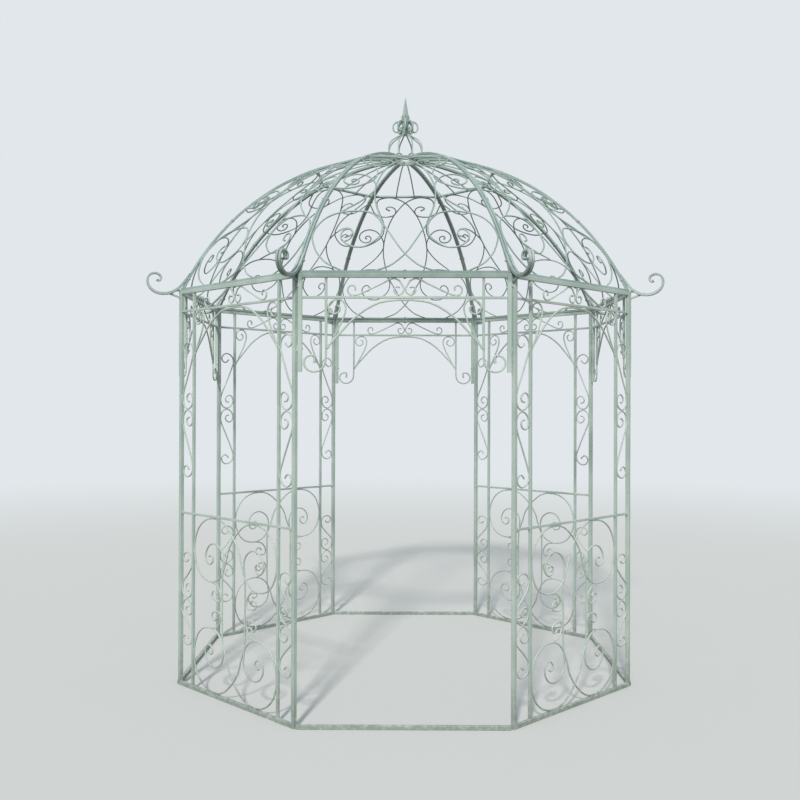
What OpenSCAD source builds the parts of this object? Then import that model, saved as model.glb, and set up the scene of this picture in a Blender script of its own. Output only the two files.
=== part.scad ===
// Octagonal open garden pavilion of welded iron bar, four doorways and four screens.
// Millimetres, +Z up, origin on the ground at the centre of the plan.
// The doorway side called front faces minus Y, and right is plus X.

/* [Plan] */
// distance from the centre to each corner of the octagon
plan_radius = 1300; // [1000:10:1600]
// width of the square tubes that stand at the corners
tube = 20; // [16:1:30]
// gap left between two pieces that are bolted face to face
seat_gap = 0.2; // [0.1:0.1:0.4]

/* [Heights] */
// top of the square beams that carry the roof
eaves_height = 2100; // [1900:10:2400]
// height of the band between the middle of the slim rail and the top of the beam
head_rail_height = 111; // [60:1:250]
// middle of the rail above the low screen
waist_rail_height = 918; // [700:1:1100]
// height of the short tubes beside each doorway, which hang down from the top of the beam
drop_tube_height = 455; // [300:5:600]

/* [Flat bars] */
// width of the slim rails
rail = 12; // [8:1:16]
// width of the uprights inside each screen
stile = 14; // [10:1:18]
// distance from a corner to the middle of the nearest upright
stile_inset = 134; // [90:1:180]
// distance from a corner to the middle of a doorway upright
drop_inset = 147; // [100:1:180]
// width of the scroll bars
bar = 8; // [6:1:10]
// width of the arch bar
arch_bar = 10; // [8:1:12]
// thickness of every flat scroll, front to back
bar_depth = 8; // [6:1:10]
// turn of a scroll between two of its straight stretches, in degrees
step_angle = 24; // [12:2:40]

/* [Scrolls] */
// how far above the waist rail the two tall side scrolls touch
side_meet = 548; // [480:1:640]
// how far under the slim rail the arch bars leave the uprights
arch_foot = 237; // [180:1:290]

/* [Dome] */
// distance from each corner in to the foot of a pair of curved side bars
dome_foot = 8; // [0:1:10]
// height of the top of the crown ring above the eaves
crown_height = 841; // [600:1:1000]
// outer radius of the crown ring
crown_radius = 74; // [60:1:130]
// depth of the curved side bars
rib_depth = 14; // [10:1:20]
// width of one curved side bar, two stand side by side at each corner
rib_width = 12; // [8:1:16]
// height of the straight bar at the foot of each roof panel
foot_bar = 14; // [10:1:20]
// width and depth of the roof scroll bars
roof_bar = 8; // [6:1:10]
// distance up the panel to the cross bar
cross_up = 1066; // [950:1:1150]
// half the distance between the two slender bars at the cross bar
slender_low = 58; // [40:1:80]
// half the distance between the two slender bars at the crown
slender_high = 10; // [8:1:24]

/* [Finial] */
// height of the crown ring
ring_height = 24; // [20:1:50]
// wall of the crown ring
ring_wall = 12; // [8:1:26]
// radius of the circle on which the legs of the finial stand
leg_circle = 97; // [84:1:110]
// radius of a leg of the finial
leg_radius = 4; // [4:0.5:7]
// straight height of a leg before it bends inwards
leg_rise = 59; // [10:1:80]
// radius of the bend of a leg
leg_bend = 60; // [40:1:84]
// how far a leg leans after the bend, in degrees
leg_lean = 60; // [45:1:75]
// straight length of a leg after the bend
leg_run = 63.5; // [50:0.5:70]
// radius of the hub of the finial
hub_radius = 14; // [13:1:20]
// height of the column above the hub
column_height = 82; // [60:1:100]
// length of the spear above the column
spear_length = 140; // [100:1:170]
// corner radius of the four sided spear at its foot
spear_radius = 21; // [14:1:26]

/* [Corner scrolls] */
// how far a corner scroll reaches out from the corner
tail_reach = 178; // [140:1:220]
// width of a corner scroll
tail_width = 25; // [14:1:30]
// thickness of a corner scroll
tail_bar = 7; // [5:1:9]

/* [Hidden] */
bays = 8;
turn = 360 / bays;
half = turn / 2;
bay_width = 2 * plan_radius * sin(half);
apothem = plan_radius * cos(half);
middle = bay_width / 2;
post_inset = tube / 2 * (1 + tan(half)) + seat_gap / 2;
beam_low = eaves_height - tube;
loft = 0.7;
head_rail_up = eaves_height - head_rail_height;
drop_low = eaves_height - drop_tube_height;
arch_low = head_rail_up - arch_foot;
meet_up = waist_rail_height + side_meet;
foot_radius = plan_radius - dome_foot;
crown_top = eaves_height + crown_height;
// the dome is part of a circle that leaves the eaves at the corner and meets the crown ring
ring_low = crown_top - ring_height;
rib_crown = crown_top - ring_height / 2;
dome_centre = (pow(rib_crown, 2) + pow(crown_radius, 2) - pow(eaves_height, 2) - pow(foot_radius, 2))
    / (2 * (rib_crown - eaves_height));
dome_radius = norm([foot_radius, eaves_height - dome_centre]);
dome_start = asin((eaves_height + seat_gap - dome_centre) / (dome_radius - rib_depth / 2));
dome_end = acos((crown_radius - 6) / dome_radius);
mirror_about = bay_width;
// the scrolls of a side are drawn 995 wide, with the uprights of a screen or of a doorway and
// with the heights below, and follow the real sizes from there
drawn_middle = 497.5;
drawn_stile = 123.29;
drawn_drop = 136.67;
head_high = beam_low - bar / 2 + loft;
head_low = head_rail_up + rail / 2 + bar / 2 - loft;
head_tall = (head_high - head_low) / 78.4;
arch_tall = arch_foot / 237;
side_tall = min(side_meet / 548, (head_rail_up - meet_up) / 523);
roof_wide = foot_radius / 1292;
roof_tall = cross_up / 1066;
tail_size = tail_reach / 178;
column_size = column_height / 82;
plug_root = plan_radius - tube / 2 / cos(half);
roof_bands = 12;
roof_end = dome_radius * (acos((crown_radius - 4) / cos(half) / dome_radius) - dome_start) * PI / 180;
view_up = 600;
// the low screen is the same above and below its middle, and its loops seat against the rails
low_middle = (waist_rail_height - rail / 2 + tube) / 2;
low_scale = (waist_rail_height - rail / 2 - bar / 2 + 0.7 - low_middle) / 449;
// feet of the finial legs, on top of the side bars
leg_foot = dome_centre + seat_gap
    + sqrt(pow(dome_radius + rib_depth / 2, 2) - pow(leg_circle - leg_radius, 2));
hub_height = leg_foot + leg_rise + leg_bend * sin(leg_lean) + leg_run * cos(leg_lean);

// how far a line turns from one stretch to the next
function bend(a, b, c) = let (u = b - a, v = c - b)
    norm(u) * norm(v) == 0 ? 0 : acos(max(-1, min(1, u * v / norm(u) / norm(v))));

// a smooth line through a few points, with more short stretches where it bends more
function smooth(p) = concat(
    [for (i = [0 : len(p) - 2])
        let (a = p[max(i - 1, 0)], b = p[i], c = p[i + 1], d = p[min(i + 2, len(p) - 1)],
            n = max(1, round((bend(a, b, c) + bend(b, c, d)) / 2 / step_angle)))
        for (k = [0 : n - 1])
            let (t = k / n)
            0.5 * (2 * b + (c - a) * t + (2 * a - 5 * b + 4 * c - d) * t * t
                + (3 * b - a - 3 * c + d) * t * t * t)],
    [p[len(p) - 1]]);

// a curl about a centre whose radius goes from the first value to the second
function curl(c, r0, r1, a0, a1, n, ease = 1) =
    [for (i = [0 : n])
        let (t = i / n, r = r0 + (r1 - r0) * pow(t, ease), a = a0 + (a1 - a0) * t)
        c + r * [cos(a), sin(a)]];

// lays a drawn line out on the real width: the strip beside a corner tube follows the distance
// to the upright, and the rest follows the distance between the uprights
function spread(x, inset, drawn) = x < drawn ? post_inset + x * (inset - post_inset) / drawn
    : inset + (x - drawn) * (middle - inset) / (drawn_middle - drawn);
function placed(p, up = 0, tall = 1) =
    [for (q = p) [spread(q[0], stile_inset, drawn_stile), q[1] * tall + up]];
// the same for the sides that have an arch on the uprights of a doorway
function door_placed(p, up = 0, tall = 1) =
    [for (q = p) [spread(q[0], drop_inset, drawn_drop), q[1] * tall + up]];
function low_placed(p) = placed(p, low_middle, low_scale);

function flip(p, w = mirror_about) = [for (q = p) [w - q[0], q[1]]];
function upend(p, z) = [for (q = p) [q[0], 2 * z - q[1]]];
function edge(p, w) = [for (i = [0 : len(p) - 1])
    let (d = p[min(i + 1, len(p) - 1)] - p[max(i - 1, 0)])
    p[i] + [-d[1], d[0]] / norm(d) * w / 2];

function back(p) = [for (i = [len(p) - 1 : -1 : 0]) p[i]];

module ribbon(p, w = bar) {
    polygon(concat(edge(p, w), back(edge(p, -w))));
}

module both(p, w = bar) {
    ribbon(p, w);
    ribbon(flip(p), w);
}

// turns a flat drawing into a plate that stands in the plane of a side
module stand(depth) {
    translate([0, depth / 2, 0])
        rotate([90, 0, 0])
            linear_extrude(depth)
                children();
}

module in_side(n) {
    rotate([0, 0, turn * n])
        translate([-middle, -apothem, 0])
            children();
}

module upright(x, z0, z1, w) {
    translate([x - w / 2, -w / 2, z0])
        cube([w, w, z1 - z0]);
}

module level(x0, x1, z, w) {
    translate([x0, -w / 2, z - w / 2])
        cube([x1 - x0, w, w]);
}

// wedge that fills the open side of the corner joint between two square tubes
module plug(z0, z1, share) {
    s = tan(half);
    a = plug_root + 3;
    b = plan_radius + tube / 2 * cos(half) - 1;
    wa = (a - plug_root) * s - seat_gap;
    wb = (b - plug_root) * s - seat_gap;
    translate([0, 0, z0])
        linear_extrude(z1 - z0)
            polygon(share == 0 ? [[a, -wa], [b, -wb], [b, wb], [a, wa]]
                : [[a, -wa], [b, -wb], [b, wb + 3], [a, wa + 3]]);
}

// wedge on a doorway piece, welded to its own tube and seated on the screen tube
module lug(z0, z1, side) {
    rotate([0, 0, -90 + side * half])
        scale([1, side, 1])
            mirror([0, 1, 0])
                plug(z0, z1, 1);
}

// double scroll between the head rail and the beam, the two of a side touch in the middle
function head_scroll() = let (k = head_tall) placed(concat(
    back(curl([250, 28.5], 28.5, 9, -70, -390, 13, 1.3)),
    smooth([[278, 5], [300, 14], [350, 37], [400, 60], [425, 73.4], [449, 78.4], [472, 69.4]]),
    curl([465.8, 28], 28, 8, 22, -310, 13, 1.5)), head_low, k);

// left half of the arch of a side as distances across and under the slim rail, and the whole
// arch, which is bent the same way in a screen and in a doorway
function half_arch(foot) = [[foot, -237], [foot + 17, -214], [200, -153], [250, -101],
    [300, -63], [345, -37], [400, -18]];
function whole_arch(left) = smooth(concat(left,
    [[middle, head_rail_up - rail / 2 - arch_bar / 2 + loft]], back(flip(left))));

// the heart scroll that rises beside the arch and curls back to the upright
function heart(inset) = [for (q = [[1, -237], [29, -181], [61, -127], [81, -79], [86, -43],
    [71, -16], [43, -9.4], [15, -21], [4, -45], [15, -69], [38, -75], [57, -61], [57, -43],
    [44, -37]]) [q[0] + inset, q[1]]];

// curl under a doorway upright, next to the short tube
function drop_curl() = concat([[137, -229], [136, -267]],
    curl([78, -296], 55, 26, -8, -290, 10), [[86, -303]]);

// side scroll above its meeting height, with a small curl at the foot and a large one on top
function side_scroll() = smooth(placed([[75, 317], [66, 306], [50, 297], [31, 305], [22, 324],
    [31, 343], [52, 355], [76, 353], [98, 340], [110, 321], [112, 299], [107, 276], [60, 174],
    [27, 109], [16, 79], [14, 54], [20, 31], [37, 11], [62, 3.5], [88, 12], [105, 31],
    [110, 54], [103, 75], [84, 86], [62, 79], [51, 61], [60, 45], [78, 42]], meet_up, side_tall));
function low_side_scroll() = smooth(low_placed([[75, 213], [66, 202], [50, 196], [33, 205],
    [26, 221], [36, 238], [58, 246], [82, 243], [102, 231], [112.4, 209], [110, 186],
    [100, 163], [60, 121], [24, 89], [14.2, 64], [20, 36], [37, 14], [62, 3.6], [88, 13],
    [106, 33], [110, 55], [103, 74], [84, 84], [62, 77], [51, 60], [60, 45], [78, 42]]));

// large loop of the low screen, from one crook bar over the top to the other crook bar
function loop_left() = smooth(low_placed([[405, 186], [378, 153], [340, 129], [287, 119],
    [226, 130], [179, 160], [151, 202], [136, 252], [136, 306], [160, 369], [198, 411],
    [250, 439], [310, 449], [372, 445], [430, 420], [497.5, 363], [543, 301], [566, 236],
    [590, 186]]));

// the long upright bar with a crook at each end
function crook() = smooth(low_placed([[275, 249], [290, 257], [308, 247], [308, 226],
    [285, 209], [258, 216], [243, 241], [248, 274], [275, 306], [315, 320], [355, 313],
    [392, 286], [408, 246], [404, 201], [397, 141], [397, 0]]));

// small curl under the foot of a large loop
function mid_curl() = smooth(low_placed([[300, 119], [345, 109], [372, 86], [384, 56],
    [375, 31], [345, 27], [312, 37], [303, 56], [315, 74], [335, 74], [348, 59]]));

module frame_screen() {
    upright(post_inset, 0, eaves_height, tube);
    upright(bay_width - post_inset, 0, eaves_height, tube);
    upright(stile_inset, tube / 2, beam_low + 1, stile);
    upright(bay_width - stile_inset, tube / 2, beam_low + 1, stile);
    level(post_inset, bay_width - post_inset, tube / 2, tube);
    level(post_inset, bay_width - post_inset, eaves_height - tube / 2, tube);
    level(post_inset, bay_width - post_inset, waist_rail_height, rail);
    level(post_inset, bay_width - post_inset, head_rail_up, rail);
}

// flat outline of the screen frame, grown by the seat gap, to trim the scrolls against
module screen_trim() {
    g = seat_gap;
    for (x = [post_inset, bay_width - post_inset])
        translate([x - tube / 2 - g, -5])
            square([tube + 2 * g, eaves_height + 10]);
    for (x = [stile_inset, bay_width - stile_inset])
        translate([x - stile / 2 - g, -5])
            square([stile + 2 * g, eaves_height + 10]);
    for (z = [waist_rail_height, head_rail_up])
        translate([-5, z - rail / 2 - g])
            square([bay_width + 10, rail + 2 * g]);
    translate([-5, -5])
        square([bay_width + 10, tube + 5 + g]);
    translate([-5, beam_low - g])
        square([bay_width + 10, tube + 2 * g]);
}

module screen(n) {
    color("#9fb8a8")
        in_side(n)
            frame_screen();
}

module screen_scrolls(n) {
    color("#a9c2b2")
        in_side(n)
            stand(bar_depth)
                difference() {
                    union() {
                        both(head_scroll());
                        ribbon(whole_arch(placed(half_arch(126), head_rail_up, arch_tall)),
                            arch_bar);
                        both(smooth(placed(heart(130.5), head_rail_up, arch_tall)));
                        both(side_scroll());
                        both(upend(side_scroll(), meet_up));
                    }
                    screen_trim();
                }
}

module low_screen(n) {
    color("#a9c2b2")
        in_side(n)
            stand(bar_depth)
                difference() {
                    for (line = [loop_left(), crook(), mid_curl(), low_side_scroll()]) {
                        both(line);
                        both(upend(line, low_middle));
                    }
                    screen_trim();
                }
}

module door_head(n) {
    color("#9fb8a8") {
        in_side(n) {
            upright(post_inset, drop_low, eaves_height, tube);
            upright(bay_width - post_inset, drop_low, eaves_height, tube);
            level(post_inset, bay_width - post_inset, eaves_height - tube / 2, tube);
            level(post_inset, bay_width - post_inset, head_rail_up, rail);
            upright(drop_inset, arch_low - 2, beam_low + 1, rail);
            upright(bay_width - drop_inset, arch_low - 2, beam_low + 1, rail);
        }
        rotate([0, 0, turn * n])
            for (s = [-1, 1])
                lug(arch_low - 12, arch_low + 12, s);
    }
}

module door_trim() {
    g = seat_gap;
    for (x = [post_inset, bay_width - post_inset])
        translate([x - tube / 2 - g, drop_low - 5])
            square([tube + 2 * g, drop_tube_height + 10]);
    for (x = [drop_inset, bay_width - drop_inset])
        translate([x - rail / 2 - g, arch_low - 2 - g])
            square([rail + 2 * g, eaves_height - arch_low + 12]);
    translate([-5, head_rail_up - rail / 2 - g])
        square([bay_width + 10, rail + 2 * g]);
    translate([-5, beam_low - g])
        square([bay_width + 10, tube + 2 * g]);
}

module door_scrolls(n) {
    color("#a9c2b2")
        in_side(n)
            stand(bar_depth)
                difference() {
                    union() {
                        both(head_scroll());
                        ribbon(whole_arch(door_placed(half_arch(138), head_rail_up,
                            arch_tall)), arch_bar);
                        both(smooth(door_placed(heart(142.8), head_rail_up, arch_tall)));
                        both(door_placed(drop_curl(), head_rail_up, arch_tall), arch_bar);
                    }
                    door_trim();
                }
}

module sill(n) {
    color("#8ea697") {
        in_side(n)
            level(post_inset - tube / 2, bay_width - post_inset + tube / 2, tube / 2, tube);
        rotate([0, 0, turn * n])
            for (s = [-1, 1])
                lug(0, tube, s);
    }
}

// a point of the roof panel at front, x across and s measured up the curve
function roof_angle(s) = dome_start + s / dome_radius * 180 / PI;
function roof_point(q) = let (t = roof_angle(q[1]))
    [q[0], -dome_radius * cos(t) * cos(half), dome_centre + dome_radius * sin(t)];
function roof_normal(q) =
    let (t = roof_angle(q[1]), v = [0, -cos(t), sin(t) * cos(half)]) v / norm(v);
function roof_edge(s) = dome_radius * cos(roof_angle(s)) * sin(half);
// where a roof scroll or the cross bar ends inside a side bar
function roof_weld(s) = roof_edge(s) - (rib_width * 0.5) / cos(half);
// the roof scrolls are drawn on a panel 1292 from the centre to the foot with its cross bar
// 1066 up, and follow the real sizes from there
function roof_placed(p) = [for (q = p) [q[0] * roof_wide, q[1] * roof_tall]];
function on_side(up) = [-roof_weld(up * roof_tall), up * roof_tall];

// the roof scrolls are drawn flat, as seen square on to the middle of the panel, and then
// cut out of a thin curved shell, so that every bar follows the curve of the panel
view_normal = roof_normal([0, view_up]);
view_turn = atan2(-view_normal[1], view_normal[2]);
function seen(q) = [q[0], roof_point(q) * [0, cos(view_turn), sin(view_turn)]];

module roof_line(p, w = roof_bar) {
    polygon([for (q = concat(edge(p, w), back(edge(p, -w)))) seen(q)]);
}

module roof_pair(p, w = roof_bar) {
    roof_line(p, w);
    roof_line(flip(p, 0), w);
}

module roof_shell() {
    up = [for (i = [0 : roof_bands]) (roof_end + 8) * i / roof_bands - 4];
    wide = plan_radius;
    translate([-wide / 2, 0, 0])
        rotate([90, 0, 90])
            linear_extrude(wide)
                polygon(concat(
                    [for (u = up) let (q = roof_point([0, u]) + roof_normal([0,
                    u]) * roof_bar / 2) [q[1], q[2]]],
                    back([for (u = up) let (q = roof_point([0, u]) - roof_normal([0,
                        u]) * roof_bar / 2)
                        [q[1], q[2]]])));
}

module roof_scrolls() {
    top = roof_point([0, view_up]) * view_normal;
    low = min(roof_point([0, 0]) * view_normal, roof_point([0, roof_end]) * view_normal);
    intersection() {
        roof_shell();
        rotate([view_turn, 0, 0])
            translate([0, 0, low - 60])
                linear_extrude(top - low + 120)
                    union() {
                        roof_pair(roof_long());
                        roof_pair(roof_volute());
                        roof_pair(roof_crook());
                        roof_pair(roof_curl());
                        roof_pair([for (i = [0 : 8]) let (t = i / 8)
                            [slender_low + (slender_high - slender_low) * t,
                            cross_up + (roof_end - cross_up) * t]]);
                    }
    }
}

// the long double curve: from one side bar, over the top, across and down to the foot bar
function roof_long() = smooth(concat([on_side(584)], roof_placed([[-300, 577], [-245, 594], [-190, 632],
    [-160, 666], [-143, 715], [-142, 790], [-165, 880], [-180, 945], [-183, 995], [-168, 1033],
    [-130, 1053], [-90, 1056], [-50, 1040], [0, 998], [40, 935], [82, 850], [115, 750],
    [140, 635], [149, 550], [143, 450], [124, 360], [105, 300], [80, 250], [40, 172], [0, 108],
    [-60, 48], [-110, 22], [-150, 8]])));

// the large volute at the foot, from the foot bar round the outside and inwards
function roof_volute() = smooth(roof_placed([[-286, 8], [-316, 24], [-350, 43], [-380, 68], [-413, 115],
    [-431, 166], [-437.5, 217], [-420, 276], [-388, 326], [-350, 358], [-305, 377], [-250, 387],
    [-200, 386], [-163, 374], [-138, 349], [-121, 323], [-109, 293], [-107, 264], [-112, 234],
    [-125, 206], [-147, 183], [-172, 162], [-198, 149], [-223, 147], [-248, 151], [-274, 165],
    [-294, 187], [-303, 212], [-299, 238], [-283, 257], [-262, 259], [-249, 242], [-254, 222],
    [-272, 214]]));

// the spiral above it, whose tail comes down in a bow to the volute
function roof_crook() = smooth(roof_placed([[-257, 648], [-268, 656], [-262, 672], [-244, 674],
    [-231, 656], [-238, 630], [-262, 616], [-290, 624], [-308, 655], [-300, 695], [-268, 725],
    [-230, 732], [-190, 712], [-162, 668], [-148, 625], [-145, 588], [-155, 550], [-178, 512],
    [-215, 465], [-255, 427], [-290, 397], [-310, 377]]));

// the curl under the cross bar
function roof_curl() = smooth(concat(roof_placed([[-100, 916], [-112, 924], [-124, 934],
    [-120, 948], [-98, 957], [-74, 944], [-62, 912], [-72, 876], [-100, 858], [-140, 854],
    [-180, 868], [-205, 900], [-217, 945]]), [on_side(985)]));

module side_bar(s) {
    rotate([0, 0, -90 + s * half])
        translate([0, 0, dome_centre])
            rotate([90, -dome_start, 0])
                rotate_extrude(angle = dome_end - dome_start, $fn = 96)
                    translate([dome_radius - rib_depth / 2,
                        s > 0 ? seat_gap / 2 : -rib_width - seat_gap / 2])
                        square([rib_depth, rib_width]);
}

module roof_sides() {
    side_bar(-1);
    side_bar(1);
}

module roof_bars() {
    foot = foot_radius * cos(half);
    w = (foot - foot_bar / 2) * tan(half) - seat_gap;
    v = (foot + foot_bar / 2) * tan(half) - seat_gap;
    translate([0, 0, eaves_height + seat_gap])
        linear_extrude(foot_bar)
            polygon([[-v, -foot - foot_bar / 2], [v, -foot - foot_bar / 2],
                [w, -foot + foot_bar / 2], [-w, -foot + foot_bar / 2]]);
    m = roof_normal([0, cross_up]);
    l = roof_weld(cross_up);
    translate(roof_point([0, cross_up]))
        rotate([atan2(-m[1], m[2]), 0, 0])
            translate([-l, -rail / 2, -rail / 2])
                cube([2 * l, rail, rail]);
}

module roof_panel(n) {
    color("#93ac9c")
        rotate([0, 0, turn * n]) {
            difference() {
                union() {
                    roof_sides();
                    roof_scrolls();
                }
                cylinder(h = crown_top + 50, r = crown_radius + seat_gap, $fn = 96);
            }
            roof_bars();
        }
}

module crown_ring() {
    color("#9fb8a8")
        translate([0, 0, ring_low])
            difference() {
                cylinder(h = ring_height, r = crown_radius, $fn = 96);
                translate([0, 0, -1])
                    cylinder(h = ring_height + 2, r = crown_radius - ring_wall, $fn = 96);
            }
}

function tail_line() = smooth([for (q = [[2, 2], [45, -8], [98, -8], [148, 14], [178, 66],
    [169, 100], [138, 114], [111, 98], [108, 76], [126, 66]])
        [plan_radius + q[0] * tail_size, eaves_height - 9 + q[1] * tail_size]]);

module corner_scrolls() {
    color("#b4c9ba")
        for (i = [0 : bays - 1])
            rotate([0, 0, half + turn * i]) {
                plug(eaves_height - 62, eaves_height - 2, 0);
                intersection() {
                    translate([0, tail_width / 2, 0])
                        rotate([90, 0, 0])
                            linear_extrude(tail_width)
                                ribbon(tail_line(), tail_bar);
                    translate([plan_radius + tube / 2 * cos(half) - 1.3, -tail_width, 0])
                        cube([400, 2 * tail_width, 2 * eaves_height]);
                }
            }
}

// four curls round the column, their tails grow out of its top
function finial_curl() = smooth([for (q = [[6, 72], [30, 82], [52, 80], [70, 66], [77, 46],
    [72, 26], [58, 16], [44, 20], [38, 34], [46, 44]]) q * column_size]);

module finial_leg() {
    bend_end = leg_circle - leg_bend * (1 - cos(leg_lean));
    translate([leg_circle, 0, leg_foot])
        cylinder(h = leg_rise, r = leg_radius, $fn = 24);
    translate([leg_circle - leg_bend, 0, leg_foot + leg_rise])
        rotate([90, 0, 0])
            rotate_extrude(angle = leg_lean, $fn = 48)
                translate([leg_bend, 0])
                    circle(r = leg_radius, $fn = 24);
    // the leaning part is a little thicker and begins inside the bend, like a weld
    translate([bend_end, 0, leg_foot + leg_rise + leg_bend * sin(leg_lean)])
        rotate([0, -leg_lean, 0])
            translate([0, 0, -1])
                cylinder(h = leg_run + 1, r = leg_radius + 0.4, $fn = 24);
}

module finial() {
    color("#b4c9ba") {
        for (i = [0 : bays - 1])
            rotate([0, 0, half + turn * i])
                finial_leg();
        translate([0, 0, hub_height])
            rotate_extrude($fn = 48)
                polygon([[0, -16], [8, -16], [hub_radius, -8], [hub_radius, 8], [19, 14], [24,
                    28], [18, 44], [15, 58],
                    [20, 70], [24, column_height - 4], [24, column_height], [0, column_height]]);
        for (i = [0 : 3])
            rotate([0, 0, 90 * i])
                translate([0, 3, hub_height])
                    rotate([90, 0, 0])
                        linear_extrude(6)
                            ribbon(finial_curl(), 6);
        translate([0, 0, hub_height + column_height - 1]) {
            cylinder(h = 29, r1 = spear_radius, r2 = spear_radius * 0.7, $fn = 4);
            translate([0, 0, 29])
                cylinder(h = 40, r1 = spear_radius * 0.7, r2 = spear_radius * 0.5, $fn = 4);
            translate([0, 0, 69])
                cylinder(h = spear_length - 68, r1 = spear_radius * 0.5, r2 = 1, $fn = 4);
        }
    }
}

screen(1);  // right_front_screen
screen(3);  // right_back_screen
screen(5);  // left_back_screen
screen(7);  // left_front_screen
screen_scrolls(1);  // right_front_scrolls
screen_scrolls(3);  // right_back_scrolls
screen_scrolls(5);  // left_back_scrolls
screen_scrolls(7);  // left_front_scrolls
low_screen(1);  // right_front_low_screen
low_screen(3);  // right_back_low_screen
low_screen(5);  // left_back_low_screen
low_screen(7);  // left_front_low_screen
door_head(0);  // front_doorway
door_head(2);  // right_doorway
door_head(4);  // back_doorway
door_head(6);  // left_doorway
door_scrolls(0);  // front_doorway_scrolls
door_scrolls(2);  // right_doorway_scrolls
door_scrolls(4);  // back_doorway_scrolls
door_scrolls(6);  // left_doorway_scrolls
sill(0);  // front_sill
sill(2);  // right_sill
sill(4);  // back_sill
sill(6);  // left_sill
roof_panel(0);  // front_roof_panel
roof_panel(1);  // right_front_roof_panel
roof_panel(2);  // right_roof_panel
roof_panel(3);  // right_back_roof_panel
roof_panel(4);  // back_roof_panel
roof_panel(5);  // left_back_roof_panel
roof_panel(6);  // left_roof_panel
roof_panel(7);  // left_front_roof_panel
crown_ring();
corner_scrolls();
finial();
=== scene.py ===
# %% [markdown]
# # An octagonal garden pavilion in painted iron, dressed in Blender
# The measured model of the pavilion comes first, as a fixed frame. Every piece made in this
# lesson stands for one node of that frame, keeps its place and size, and adds what the solids
# leave out: rounded bar, forged ends, weld beads, bolts and weathered paint.

# %% Load the frame
import math
import random
import bpy
import numpy as np
from mathutils import Matrix, Vector, noise


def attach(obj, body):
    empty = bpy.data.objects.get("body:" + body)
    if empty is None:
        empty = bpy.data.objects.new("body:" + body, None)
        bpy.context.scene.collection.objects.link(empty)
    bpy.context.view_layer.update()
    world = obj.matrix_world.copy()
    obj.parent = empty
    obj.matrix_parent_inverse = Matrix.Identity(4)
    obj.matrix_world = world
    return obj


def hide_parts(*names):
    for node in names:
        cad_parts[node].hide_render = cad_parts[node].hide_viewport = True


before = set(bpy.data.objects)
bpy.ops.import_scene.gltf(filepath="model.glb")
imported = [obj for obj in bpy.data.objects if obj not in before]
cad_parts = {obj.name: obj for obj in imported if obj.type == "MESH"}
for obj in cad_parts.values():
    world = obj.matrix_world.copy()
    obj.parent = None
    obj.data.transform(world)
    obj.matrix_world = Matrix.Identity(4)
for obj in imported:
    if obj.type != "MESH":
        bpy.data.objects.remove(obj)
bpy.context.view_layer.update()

print("nodes in the frame:", len(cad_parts))

# %% [markdown]
# The camera stands where the picture was taken: on the axis of the front doorway, at chest
# height and about five and a half metres from the middle. A wide lens at that distance makes
# the back of the pavilion look much smaller than the front, so distance and lens are set first
# and nothing else is judged until they are right.

# %% Set the camera
PHOTO_PIXELS, LENS_PIXELS = 800, 951
CAMERA_AT = (0.0018, -5.5839, 1.4959)
YAW, PITCH, ROLL = 0.0052, 0.00469, 0.0029


def put_in_scene(name, data):
    made = bpy.data.objects.new(name, data)
    bpy.context.scene.collection.objects.link(made)
    return made


camera_data = bpy.data.cameras.new("photo_view")
camera_data.sensor_width = 36
camera_data.lens = camera_data.sensor_width * LENS_PIXELS / PHOTO_PIXELS
camera = put_in_scene("photo_view", camera_data)
camera.location = CAMERA_AT
tilt = Matrix.Rotation(YAW, 3, "Z") @ Matrix.Rotation(math.pi / 2 + PITCH, 3, "X")
camera.rotation_euler = (tilt @ Matrix.Rotation(ROLL, 3, "Z")).to_euler()
bpy.context.scene.camera = camera
bpy.context.scene.view_settings.view_transform = "Standard"
print("camera at", tuple(round(v, 3) for v in camera.location))

# %% [markdown]
# The sizes are those of the measured model, in millimetres, because a smith thinks in
# millimetres. Only when a mesh is finished do its points become metres. Eight bays stand round
# the centre, numbered from the front one towards the right.

# %% Sizes of the pavilion
BAYS = 8
TURN = 360 / BAYS
HALF = math.radians(TURN / 2)
CORNER = 1300.0
TUBE = 20.0
SEAT = 0.2
EAVES = 2100.0
HEAD_RAIL = 1989.0
WAIST_RAIL = 918.0
DROP_FOOT = 1645.0
DROP_STILE_FOOT = 1750.0
RAIL = 12.0
STILE = 14.0
STILE_AT = 134.0
BAR = 8.0
ARCH_BAR = 10.0
SIDE_MEET = 1466.0
ARCH_FOOT = 1752.0
LOFT = 0.7
LOW_DRAWN = 449

BAY = 2 * CORNER * math.sin(HALF)
APOTHEM = CORNER * math.cos(HALF)
POST_AT = TUBE / 2 * (1 + math.tan(HALF)) + SEAT / 2
BEAM = EAVES - TUBE / 2
BEAM_LOW = EAVES - TUBE
LOW_MIDDLE = (WAIST_RAIL - RAIL / 2 + TUBE) / 2
LOW_SCALE = (WAIST_RAIL - RAIL / 2 - BAR / 2 + LOFT - LOW_MIDDLE) / LOW_DRAWN
OUT = np.array([0.0, 1.0, 0.0])
UP = np.array([0.0, 0.0, 1.0])
ACROSS = np.array([1.0, 0.0, 0.0])
print("one bay is", round(BAY, 1), "mm wide")

# %% [markdown]
# ## Lines for the smith to follow
# A scroll is drawn as a few points that a smooth line runs through. The line is worked out
# finely and then thinned: many rings where the bar bends tightly, few where it runs straight.
# Curves of Blender's own could do this too, but plain lists of points are easy to mirror and
# to test for where two bars touch.

# %% Draw smooth lines
RING_TURN = math.radians(9)
RING_GAP = 45.0


def distances(line):
    """How far along the line each of its points lies."""
    return np.concatenate([[0], np.cumsum(np.linalg.norm(np.diff(line, axis=0), axis=1))])


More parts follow.
